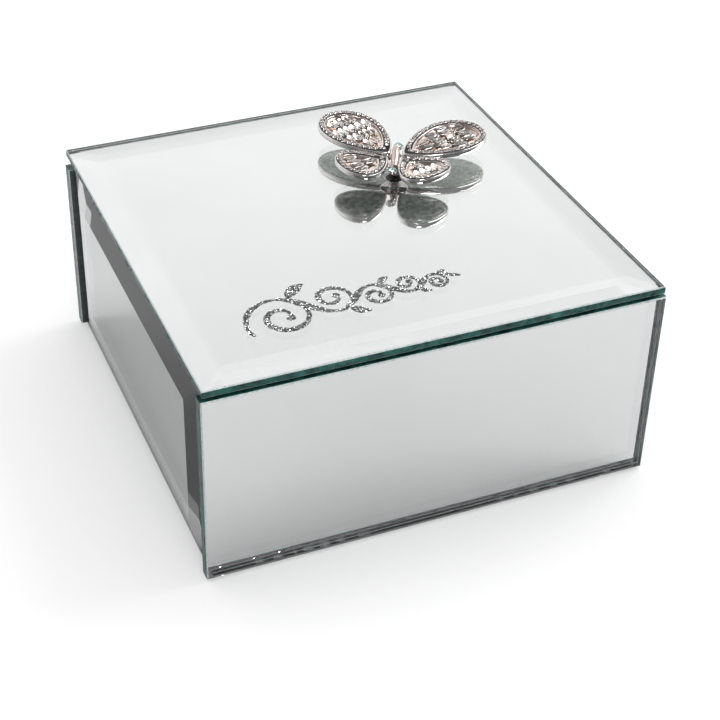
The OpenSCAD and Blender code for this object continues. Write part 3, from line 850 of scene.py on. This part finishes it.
# Painted glints and painted shade: the shades below are the greys of the cells
GLITTER_FILM = glitter_with_painted_glints(
    "glitter lacquer", [(0.0, 0.14), (0.3, 0.4), (0.62, 0.62), (0.85, 0.9)], 0.4, 0.6
)
GLITTER_FLAKE = glitter_with_painted_glints(
    "glitter flakes", [(0.0, 0.03), (0.28, 0.4), (0.5, 0.85), (0.72, 1.0)], 0.16, 1.0
)
finish_nodes(["flourish"], GLITTER_FILM)
print("glitter finishes:", GLITTER_FILM.name, GLITTER_FLAKE.name)


# %% A tree that scatters flakes
FLAKE_SIZES = (0.7, 1.25)


def named_tree(name, inputs):
    """A geometry tree with named inputs; returns the tree, its input and output, and identifiers."""
    tree = bpy.data.node_groups.new(name, "GeometryNodeTree")
    sockets = {}
    for socket, kind in inputs:
        made = tree.interface.new_socket(socket, in_out="INPUT", socket_type="NodeSocket" + kind)
        sockets[socket] = made.identifier
    tree.interface.new_socket("Geometry", in_out="OUTPUT", socket_type="NodeSocketGeometry")
    return tree, tree.nodes.new("NodeGroupInput"), tree.nodes.new("NodeGroupOutput"), sockets


def realised(tree, instances, finish):
    """Makes instances real and gives them their finish; returns the geometry."""
    real = tree.nodes.new("GeometryNodeRealizeInstances")
    coat = tree.nodes.new("GeometryNodeSetMaterial")
    link(tree, instances, real.inputs[0])
    link(tree, real.outputs[0], coat.inputs["Geometry"])
    link(tree, finish, coat.inputs["Material"])
    return coat.outputs[0]


def flake_tree():
    tree, given, out, sockets = named_tree(
        "scatter flakes",
        [("Surface", "Geometry"), ("Density", "Float"), ("Radius", "Float"), ("Tilt", "Float"),
         ("Seed", "Int"), ("Finish", "Material")],
    )
    scatter = tree.nodes.new("GeometryNodeDistributePointsOnFaces")
    link(tree, given.outputs["Surface"], scatter.inputs["Mesh"])
    link(tree, given.outputs["Density"], scatter.inputs["Density"])
    link(tree, given.outputs["Seed"], scatter.inputs["Seed"])
    flake = tree.nodes.new("GeometryNodeMeshCircle")
    flake.fill_type = "NGON"
    flake.inputs["Vertices"].default_value = 6
    link(tree, given.outputs["Radius"], flake.inputs["Radius"])
    down = tree.nodes.new("ShaderNodeMath")
    down.operation = "MULTIPLY"
    down.inputs[1].default_value = -1.0
    link(tree, given.outputs["Tilt"], down.inputs[0])
    least = add(tree, "ShaderNodeCombineXYZ", Z=0.0)
    most = add(tree, "ShaderNodeCombineXYZ", Z=2 * math.pi)
    for axis in ("X", "Y"):
        link(tree, down.outputs[0], least.inputs[axis])
        link(tree, given.outputs["Tilt"], most.inputs[axis])
    turn = tree.nodes.new("FunctionNodeRandomValue")
    turn.data_type = "FLOAT_VECTOR"
    link(tree, least.outputs[0], turn.inputs["Min"])
    link(tree, most.outputs[0], turn.inputs["Max"])
    link(tree, given.outputs["Seed"], turn.inputs["Seed"])
    size = tree.nodes.new("FunctionNodeRandomValue")
    size.data_type = "FLOAT"
    size.inputs[2].default_value, size.inputs[3].default_value = FLAKE_SIZES
    place = tree.nodes.new("GeometryNodeInstanceOnPoints")
    link(tree, scatter.outputs["Points"], place.inputs["Points"])
    link(tree, flake.outputs["Mesh"], place.inputs["Instance"])
    link(tree, turn.outputs[0], place.inputs["Rotation"])
    link(tree, size.outputs[1], place.inputs["Scale"])
    link(tree, realised(tree, place.outputs[0], given.outputs["Finish"]), out.inputs[0])
    return tree, sockets


def grown(name, mesh, tree, sockets, values, body, stands_for=()):
    """Runs a geometry tree on a mesh and keeps the plain mesh that comes out."""
    seed = bpy.data.objects.new(name + "_seed", mesh)
    bpy.context.scene.collection.objects.link(seed)
    modifier = seed.modifiers.new("grow", "NODES")
    modifier.node_group = tree
    for socket, value in values.items():
        modifier[sockets[socket]] = value
    view = bpy.context.evaluated_depsgraph_get()
    result = bpy.data.meshes.new_from_object(seed.evaluated_get(view))
    result.name = name
    bpy.data.objects.remove(seed)
    piece = bpy.data.objects.new(name, result)
    bpy.context.scene.collection.objects.link(piece)
    print(name, "faces:", len(result.polygons))
    return settle(piece, body, stands_for)


# %% Scatter the flakes over the scroll
def top_faces(node, lift):
    """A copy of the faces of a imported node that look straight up, moved up by lift."""
    form = bmesh.new()
    form.from_mesh(nodes[node].data)
    form.normal_update()
    bmesh.ops.delete(form, geom=[f for f in form.faces if f.normal.z < 0.99], context="FACES")
    for vertex in form.verts:
        vertex.co.z += lift
    mesh = bpy.data.meshes.new(node + "_top")
    form.to_mesh(mesh)
    form.free()
    mesh.materials.clear()
    return mesh


FLAKE_R = 0.24 * MM
FLAKE_LIFT = 0.05 * MM
FLAKES_PER_M2 = 24e6
FLAKE_TILT = 0.44
FLAKE_SEED = 7
scatter, scatter_sockets = flake_tree()
flake_values = {
    "Density": FLAKES_PER_M2, "Radius": FLAKE_R, "Tilt": FLAKE_TILT, "Seed": FLAKE_SEED,
    "Finish": GLITTER_FLAKE,
}
scroll_top = top_faces("flourish", FLAKE_LIFT)
grown("scroll_flakes", scroll_top, scatter, scatter_sockets, flake_values, "lid")

# %% [markdown]
# ## The butterfly's metal
# Each wing is a cast frame: a polished side wall, a trough for the row of small stones along the rim,
# and a deeper pocket for the long stones. The imported wing gives both outlines, the rim and the pocket.
# Rings of points between the two outlines, each at its own level, form the section of the casting.
# The plating is bright silver with a breath of rose where the metal is hollow. The trough under the
# row of small stones is plated near black, which is painted shade. The underside is left as cast,
# duller and less metallic. Its pale greenish colour is painted light, standing in for light that passes
# through the open wings, and it shows in the mirror below.

# %% Jewellery finishes
def plating_finish(name, dark, light, smooth, rough, metal=1.0):
    material, tree, shader, where = new_finish(name, Metallic=metal)
    cast = place_group(tree, MOTTLE, where, Scale=520.0, Dark=dark, Light=light, Smooth=smooth, Rough=rough)
    dress(tree, shader, cast)
    relief(tree, shader, cast.outputs["Height"], 0.12, 0.0001)
    return material


def stone_finish(name, clear_low, clear_high, ior):
    material, tree, shader, where = new_finish(name, IOR=ior, Transmission_Weight=1.0, Metallic=0.0)
    cut = place_group(
        tree, MOTTLE, where, Scale=300.0, Dark=clear_low, Light=clear_high, Smooth=0.0, Rough=0.02
    )
    dress(tree, shader, cut)
    return material


def foil_finish(name, shades, cells):
    """The mirror foil behind a stone, a little different from stone to stone."""
    material, tree, shader, where = new_finish(name, Metallic=1.0)
    cell_tones(tree, shader, where, cells, shades)
    worn = place_group(
        tree, MOTTLE, where, Scale=700.0, Dark=(0.5, 0.5, 0.5), Light=(1.0, 1.0, 1.0),
        Smooth=0.02, Rough=0.12,
    )
    link(tree, worn.outputs["Roughness"], shader.inputs["Roughness"])
    return material


BRIGHT = plating_finish("bright plating", (0.66, 0.62, 0.6), (0.86, 0.83, 0.82), 0.06, 0.2)
ROSE = plating_finish("rose plating", (0.64, 0.52, 0.46), (0.86, 0.75, 0.69), 0.08, 0.24)
# Near-black plating for the trough under the small stones: painted shade
TROUGH_PAINTED_SHADE = plating_finish("darkened plating", (0.03, 0.03, 0.03), (0.14, 0.13, 0.125), 0.3, 0.6)
# Pale greenish underside: painted light, standing in for light through the open wings
CAST_BACK_PAINTED_LIGHT = plating_finish("cast back", (0.55, 0.6, 0.54), (0.9, 0.93, 0.88), 0.14, 0.4, metal=0.4)
CRYSTAL = stone_finish("clear crystal", (0.93, 0.9, 0.87), (1.0, 0.99, 0.98), 1.55)
AQUA = stone_finish("aqua crystal", (0.5, 0.84, 0.84), (0.72, 0.95, 0.93), 1.55)
LONG_FOIL = foil_finish(
    "foil of the long stones",
    [(0.0, (0.42, 0.4, 0.38)), (0.35, (0.86, 0.84, 0.81)), (0.6, (0.9, 0.79, 0.72)),
     (0.85, (0.97, 0.96, 0.94))],
    330.0,
)
ROUND_FOIL = foil_finish(
    "foil of the round stones",
    [(0.0, (0.72, 0.68, 0.66)), (0.5, (0.94, 0.92, 0.91)), (0.9, (0.97, 0.9, 0.86))],
    620.0,
)
AQUA_FOIL = foil_finish(
    "foil of the aqua stones", [(0.0, (0.5, 0.8, 0.8)), (1.0, (0.85, 0.96, 0.94))], 300.0
)
print("jewellery finishes:", [m.name for m in (BRIGHT, ROSE, TROUGH_PAINTED_SHADE, CAST_BACK_PAINTED_LIGHT, CRYSTAL, AQUA)])


# %% Outlines of a packed wing
def merged(node):
    """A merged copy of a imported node's mesh, as an editable form."""
    form = bmesh.new()
    form.from_mesh(nodes[node].data)
    bmesh.ops.remove_doubles(form, verts=form.verts, dist=1e-6)
    form.normal_update()
    form.verts.index_update()
    form.faces.index_update()
    return form


def facing_up(form):
    """The direction of the largest flat area that looks upwards."""
    areas = {}
    for face in form.faces:
        if face.normal.z > 0.5:
            key = tuple(round(c, 2) for c in face.normal)
            areas.setdefault(key, [0.0, Vector()])
            areas[key][0] += face.calc_area()
            areas[key][1] += face.normal * face.calc_area()
    best = max(areas.values(), key=lambda entry: entry[0])
    return best[1].normalized()


def flat_loops(form, up):
    """Closed loops of points round the highest flat faces, the longest first."""
    top = max(v.co.dot(up) for v in form.verts)
    flat = {f for f in form.faces if f.normal.dot(up) > 0.999 and f.verts[0].co.dot(up) > top - 1e-5}
    edges = [e for e in form.edges if sum(f in flat for f in e.link_faces) == 1]
    following = {}
    for edge in edges:
        for a, b in (tuple(edge.verts), tuple(reversed(edge.verts))):
            following.setdefault(a, []).append(b)
    loops = []
    left = set(following)
    while left:
        start = min(left, key=lambda v: v.index)
        loop = [start]
        left.discard(start)
        while True:
            steps = [v for v in following[loop[-1]] if v in left]
            if not steps:
                break
            loop.append(steps[0])
            left.discard(steps[0])
        loops.append([v.co.copy() for v in loop])
    return sorted(loops, key=lambda points: -len_round(points))


def len_round(points):
    return sum((a - b).length for a, b in zip(points, points[1:] + points[:1]))


def even_loop(points, count, start_near, up):
    """The loop as evenly spaced points that start nearest a place and turn left about up."""
    area = sum((a.cross(b)).dot(up) for a, b in zip(points, points[1:] + points[:1]))
    if area < 0:
        points = points[::-1]
    first = min(range(len(points)), key=lambda i: (points[i] - start_near).length)
    points = points[first:] + points[:first]
    closed = points + [points[0]]
    runs = [0.0]
    for a, b in zip(closed, closed[1:]):
        runs.append(runs[-1] + (b - a).length)
    result = []
    place = 0
    for k in range(count):
        wanted = runs[-1] * k / count
        while runs[place + 1] < wanted:
            place += 1
        share = (wanted - runs[place]) / (runs[place + 1] - runs[place])
        result.append(closed[place].lerp(closed[place + 1], share))
    return result


# %% Cast the wings
OUTLINE_POINTS = 96
WING_SECTION = [
    # (share of the way from the rim to the pocket, height above the wing's underside in mm)
    (0.60, 0.10), (0.12, 0.0), (0.0, 0.2), (0.0, 1.35), (0.05, 1.54), (0.11, 1.6), (0.17, 1.54),
    (0.23, 1.34), (0.77, 1.34), (0.83, 1.54), (0.89, 1.6), (0.97, 1.56), (1.0, 1.44), (1.0, 0.9),
]
METALS = [BRIGHT, ROSE, TROUGH_PAINTED_SHADE, CAST_BACK_PAINTED_LIGHT]
# Between each two rings, a place in the list of metals; place 2, in the trough, is painted shade, and place
# 3, the underside, is painted light
WING_FINISH = [3, 0, 0, 0, 0, 0, 2, 2, 2, 0, 0, 0, 1]
body_middle = sum(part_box("butterfly_body"), Vector()) / 2


def cast_wing(node):
    form = merged(node)
    up = facing_up(form)
    outer, pocket = flat_loops(form, up)[:2]
    low = min(v.co.dot(up) for v in form.verts)
    form.free()
    outer = even_loop(outer, OUTLINE_POINTS, body_middle, up)
    pocket = even_loop(pocket, OUTLINE_POINTS, body_middle, up)
    floor = [p - up * (p.dot(up) - low) for p in outer]
    sunk = [p - up * (p.dot(up) - low) for p in pocket]
    points = []
    for share, level in WING_SECTION:
        points += [a.lerp(b, share) + up * level * MM for a, b in zip(floor, sunk)]
    count = OUTLINE_POINTS
    faces = ring_faces(len(WING_SECTION), count)
    finish = [WING_FINISH[index // count] for index in range(len(faces))]
    faces.append(tuple(reversed(range(count))))
    last = (len(WING_SECTION) - 1) * count
    faces.append(tuple(range(last, last + count)))
    finish += [3, 1]
    piece = make_piece(
        "cast_" + node, points, faces, METALS, finish, "lid", [node], smooth=True
    )
    piece.data.polygons[len(faces) - 1].use_smooth = False
    piece.data.polygons[len(faces) - 2].use_smooth = False
    print(piece.name, "faces:", len(faces))


for wing in ("left_forewing", "right_forewing", "left_hindwing", "right_hindwing"):
    cast_wing(wing)

# %% [markdown]
# ## Cut stones
# The long stones are step cut: a flat table, one wide step of facets and a thin girdle, and below it
# a keel-shaped back on foil, which throws the light back. The round stones are brilliant cut, with
# eight-sided crowns. One stone of each cut is modelled at unit size. Geometry Nodes then put it in
# every seat, turned and scaled by values stored on the seats.

# %% Templates of the two cuts
def template(name, points, faces):
    mesh = bpy.data.meshes.new(name)
    mesh.from_pydata(points, [], faces)
    made = bpy.data.objects.new(name, mesh)
    bpy.context.scene.collection.objects.link(made)
    return made


def stacked(rings, close_first, close_last):
    """Faces between rings of equal count, each ring a list of points."""
    count = len(rings[0])
    points = [p for ring in rings for p in ring]
    faces = ring_faces(len(rings), count)
    if close_first:
        faces.append(tuple(reversed(range(count))))
    if close_last:
        faces.append(tuple(range((len(rings) - 1) * count, len(rings) * count)))
    return points, faces


def step_ring(inset, level, corner=0.1):
    """A rectangle of unit size with its corners cut off."""
    half = 0.5 - inset
    cut = corner * half
    ring = [(half, -half + cut), (half, half - cut), (half - cut, half), (-half + cut, half)]
    ring += [(-half, half - cut), (-half, -half + cut), (-half + cut, -half), (half - cut, -half)]
    return [(x, y, level) for x, y in ring]


def round_ring(radius, level, turn=0.0):
    """Eight points of a circle; turn is in steps from point to point."""
    angles = [2 * math.pi * (k + turn) / 8 for k in range(8)]
    return [(radius * math.cos(angle), radius * math.sin(angle), level) for angle in angles]


step_crown = template("step_crown", *stacked(
    [step_ring(0.0, 0.52), step_ring(0.0, 0.62), step_ring(0.17, 1.0)], False, True
))
step_pavilion = template("step_pavilion", *stacked(
    [step_ring(0.42, 0.0), step_ring(0.0, 0.52)], True, False
))


def brilliant_crown():
    """Table, star and girdle facets as triangles between rings turned by half a step."""
    table = round_ring(0.54, 1.0)
    middle = round_ring(0.82, 0.74, turn=0.5)
    girdle = round_ring(1.0, 0.45)
    points = girdle + middle + table
    faces = [tuple(range(16, 24))]
    for k in range(8):
        n = (k + 1) % 8
        faces += [(k, n, 8 + k), (8 + k, n, 8 + n), (8 + k, 16 + n, 16 + k), (8 + k, 8 + n, 16 + n)]
    return points, faces


def brilliant_pavilion():
    points = round_ring(1.0, 0.45) + [(0.0, 0.0, -0.35)]
    return points, [((k + 1) % 8, k, 8) for k in range(8)]


round_crown = template("round_crown", *brilliant_crown())
round_pavilion = template("round_pavilion", *brilliant_pavilion())
print("crown facets:", len(round_crown.data.polygons), len(step_crown.data.polygons))


# %% A tree that sets stones
def seat_attributes(tree):
    """Nodes that read each seat's turn and size."""
    turn = tree.nodes.new("GeometryNodeInputNamedAttribute")
    turn.data_type = "FLOAT_VECTOR"
    turn.inputs["Name"].default_value = "turn"
    spin = tree.nodes.new("FunctionNodeEulerToRotation")
    link(tree, turn.outputs["Attribute"], spin.inputs[0])
    size = tree.nodes.new("GeometryNodeInputNamedAttribute")
    size.data_type = "FLOAT_VECTOR"
    size.inputs["Name"].default_value = "size"
    return spin.outputs[0], size.outputs["Attribute"]


def stone_tree():
    tree, given, out, sockets = named_tree(
        "set stones",
        [("Seats", "Geometry"), ("Crown", "Object"), ("Pavilion", "Object"),
         ("Crown Finish", "Material"), ("Foil Finish", "Material"), ("Weld", "Float")],
    )
    spin, size = seat_attributes(tree)
    join = tree.nodes.new("GeometryNodeJoinGeometry")
    for part, finish in (("Crown", "Crown Finish"), ("Pavilion", "Foil Finish")):
        source = tree.nodes.new("GeometryNodeObjectInfo")
        link(tree, given.outputs[part], source.inputs["Object"])
        place = tree.nodes.new("GeometryNodeInstanceOnPoints")
        link(tree, given.outputs["Seats"], place.inputs["Points"])
        link(tree, source.outputs["Geometry"], place.inputs["Instance"])
        link(tree, spin, place.inputs["Rotation"])
        link(tree, size, place.inputs["Scale"])
        link(tree, realised(tree, place.outputs[0], given.outputs[finish]), join.inputs[0])
    weld = tree.nodes.new("GeometryNodeMergeByDistance")
    link(tree, join.outputs[0], weld.inputs["Geometry"])
    link(tree, given.outputs["Weld"], weld.inputs["Distance"])
    link(tree, weld.outputs[0], out.inputs[0])
    return tree, sockets


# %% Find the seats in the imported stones
def islands(form):
    """Lists of vertices that belong together."""
    left = set(form.verts)
    groups = []
    while left:
        edge_of = [left.pop()]
        group = list(edge_of)
        while edge_of:
            vertex = edge_of.pop()
            for edge in vertex.link_edges:
                other = edge.other_vert(vertex)
                if other in left:
                    left.discard(other)
                    group.append(other)
                    edge_of.append(other)
        groups.append(group)
    return sorted(groups, key=lambda group: min(v.index for v in group))


def seat_of(group):
    """Foot, axes and sizes of one packed stone, a box or an upright prism."""
    faces = sorted({f for v in group for f in v.link_faces}, key=lambda f: f.index)
    up = max((f.normal for f in faces), key=lambda n: round(n.z, 5)).copy()
    walls = [f for f in faces if abs(f.normal.dot(up)) < 0.2]
    widest = max(f.calc_area() for f in walls)
    side = next(f.normal.copy() for f in walls if f.calc_area() > 0.999 * widest)
    axes = [side, up.cross(side).normalized(), up]
    spans = []
    middle = Vector()
    for axis in axes:
        values = [v.co.dot(axis) for v in group]
        spans.append(max(values) - min(values))
        middle += axis * (max(values) + min(values)) / 2
    return middle - up * spans[2] / 2, axes, spans


def seats(node):
    form = merged(node)
    found = [seat_of(group) for group in islands(form)]
    form.free()
    return found


def seat_mesh(name, places):
    """Points with a turn and a size each; places are (point, axes, size)."""
    mesh = bpy.data.meshes.new(name)
    mesh.from_pydata([tuple(place[0]) for place in places], [], [])
    turn = mesh.attributes.new("turn", "FLOAT_VECTOR", "POINT")
    size = mesh.attributes.new("size", "FLOAT_VECTOR", "POINT")
    for k, (_, axes, spans) in enumerate(places):
        matrix = Matrix((axes[0], axes[1], axes[2])).transposed()
        turn.data[k].vector = matrix.to_euler("XYZ")
        size.data[k].vector = spans
    return mesh


# %% Set the stones
WELD = 1e-7
LONG_TIP = 0.09
ROUND_TIP = 0.12
ROUND_FILL = 0.98
ROUND_LIFT = 0.06 * MM
END_FILL = 0.92
END_LIFT = 0.3 * MM
stones, stone_sockets = stone_tree()


def tipped(place, dice, most):
    """The seat with its axes tipped a little, as hand-set stones are."""
    point, axes, spans = place
    tip = Matrix.Rotation(dice.uniform(-most, most), 3, axes[0])
    tip = tip @ Matrix.Rotation(dice.uniform(-most, most), 3, axes[1])
    return point, [tip @ axis for axis in axes], spans


def round_seat(place, fill, lift):
    """A seat for a round stone, filled to a share of its width and lifted."""
    point, axes, spans = place
    radius = max(spans[0], spans[1]) / 2 * fill
    return point + axes[2] * lift, axes, (radius, radius, spans[2])


def set_stones(name, places, crown, pavilion, clear, foil, node):
    """Sets one kind of stone in all its seats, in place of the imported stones."""
    values = {
        "Crown": crown, "Pavilion": pavilion, "Crown Finish": clear, "Foil Finish": foil, "Weld": WELD,
    }
    mesh = seat_mesh(name + "_seats", places)
    grown(name, mesh, stones, stone_sockets, values, "lid", [node])


dice = random.Random(11)
long_seats = [tipped(place, dice, LONG_TIP) for place in seats("wing_baguettes")]
set_stones(
    "long_stones", long_seats, step_crown, step_pavilion, CRYSTAL, LONG_FOIL,
    "wing_baguettes",
)
round_seats = [round_seat(place, ROUND_FILL, ROUND_LIFT) for place in seats("wing_round_stones")]
set_stones(
    "round_stones", [tipped(place, dice, ROUND_TIP) for place in round_seats], round_crown,
    round_pavilion, CRYSTAL, ROUND_FOIL, "wing_round_stones",
)
end_seats = [round_seat(place, END_FILL, END_LIFT) for place in seats("body_stones")]
set_stones(
    "end_stones", end_seats, round_crown, round_pavilion, AQUA, AQUA_FOIL,
    "body_stones",
)
for pattern in (step_crown, step_pavilion, round_crown, round_pavilion):
    bpy.data.objects.remove(pattern)

# %% [markdown]
# ## Beads between the stones
# The setter raises small beads of metal that grip each stone. Two stand in every gap between
# neighbours of the rim rows. They are instances of one small ball, scaled and placed along the row.

# %% Beads
def bead_tree():
    tree, given, out, sockets = named_tree(
        "raise beads", [("Seats", "Geometry"), ("Radius", "Float"), ("Finish", "Material")]
    )
    ball = tree.nodes.new("GeometryNodeMeshIcoSphere")
    ball.inputs["Subdivisions"].default_value = 2
    link(tree, given.outputs["Radius"], ball.inputs["Radius"])
    round_off = tree.nodes.new("GeometryNodeSetShadeSmooth")
    link(tree, ball.outputs["Mesh"], round_off.inputs[0])
    place = tree.nodes.new("GeometryNodeInstanceOnPoints")
    link(tree, given.outputs["Seats"], place.inputs["Points"])
    link(tree, round_off.outputs[0], place.inputs["Instance"])
    link(tree, realised(tree, place.outputs[0], given.outputs["Finish"]), out.inputs[0])
    return tree, sockets


BEAD_R = 0.24 * MM
BEAD_APART = 0.52 * MM
BEAD_LIFT = 0.36 * MM
MOST_GAP = 2.3 * MM
bead_places = []
for j, (point, axes, _) in enumerate(round_seats):
    for other, _, _ in round_seats[j + 1:]:
        gap = other - point
        if gap.length < MOST_GAP:
            aside = gap.cross(axes[2]).normalized()
            middle = (point + other) / 2 + axes[2] * BEAD_LIFT
            bead_places += [middle + aside * BEAD_APART, middle - aside * BEAD_APART]
bead_mesh = bpy.data.meshes.new("bead_places")
bead_mesh.from_pydata([tuple(p) for p in bead_places], [], [])
beads, bead_sockets = bead_tree()
bead_values = {"Radius": BEAD_R, "Finish": BRIGHT}
grown("setting_beads", bead_mesh, beads, bead_sockets, bead_values, "lid")

# %% [markdown]
# ## Body, cups and post
# These are turned pieces: a section is spun round an axis. The body has rings along it like a real
# butterfly's. Each aqua stone sits in a small cup with a rolled lip. The post has a foot that spreads
# where it is glued to the mirror.

# %% Turned pieces
def turned(name, section, foot, axes, finish, body, stands_for=(), steps=40):
    """Spins a section, a list of (radius, height) in metres, round the third of the axes."""
    points = []
    for radius, height in section:
        for k in range(steps):
            angle = 2 * math.pi * k / steps
            aside = axes[0] * math.cos(angle) + axes[1] * math.sin(angle)
            points.append(foot + aside * radius + axes[2] * height)
    faces = ring_faces(len(section), steps)
    faces.append(tuple(reversed(range(steps))))
    faces.append(tuple(range((len(section) - 1) * steps, len(section) * steps)))
    make_piece(name, points, faces, [finish], [0] * len(faces), body, stands_for, smooth=True)


def body_axis():
    """The two ends of the butterfly's body, from its packed points."""
    points = [v.co for v in nodes["butterfly_body"].data.vertices]
    middle = sum(points, Vector()) / len(points)
    far = max(points, key=lambda p: (p - middle).length)
    along = far - middle
    along.z = 0
    along.normalize()
    reach = max(abs((p - middle).dot(along)) for p in points)
    thick = max(abs(p.z - middle.z) for p in points)
    return middle, along, reach, thick


# %% The ringed body
middle, along, reach, thick = body_axis()
RING_COUNT = 9
RIPPLE = 0.08
BODY_STEPS = 72
section = []
for k in range(BODY_STEPS + 1):
    share = k / BODY_STEPS
    swell = thick * (0.42 + 0.5 * math.sin(math.pi * share) ** 0.6)
    ripple = 1 + RIPPLE * math.cos(2 * math.pi * RING_COUNT * share)
    section.append((swell * ripple, reach * (2 * share - 1)))
body_axes = [Z, along.cross(Z), -along]
turned("ringed_body", section, middle, body_axes, ROSE, "lid", ["butterfly_body"])

# %% Cups and post, as shares of a stone's or the post's own sizes
CUP = [
    (0.5, -0.25), (0.86, 0.0), (1.0, 0.35), (1.04, 0.62), (1.0, 0.7), (0.93, 0.66), (0.9, 0.5),
    (0.2, 0.3),
]
for number, (point, axes, spans) in enumerate(seats("body_stones")):
    radius = max(spans[0], spans[1]) / 2
    cup = [(r * radius, h * spans[2]) for r, h in CUP]
    turned(f"stone_cup_{number + 1}", cup, point, axes, BRIGHT, "lid")

post_low, post_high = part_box("butterfly_post")
post_foot = Vector(((post_low.x + post_high.x) / 2, (post_low.y + post_high.y) / 2, post_low.z))
plate_r = (post_high.x - post_low.x) / 2
post_h = post_high.z - post_low.z
POST = [
    (0.6, 0.0), (0.62, 0.04), (0.5, 0.14), (0.38, 0.32), (0.36, 0.6), (0.46, 0.76), (0.92, 0.82),
    (1.0, 0.87), (1.0, 0.96), (0.95, 1.0),
]
post = [(r * plate_r, h * post_h) for r, h in POST]
turned("turned_post", post, post_foot, [X, Y, Z], BRIGHT, "lid", ["butterfly_post"])
print("post height in mm:", round(post_h / MM, 2))
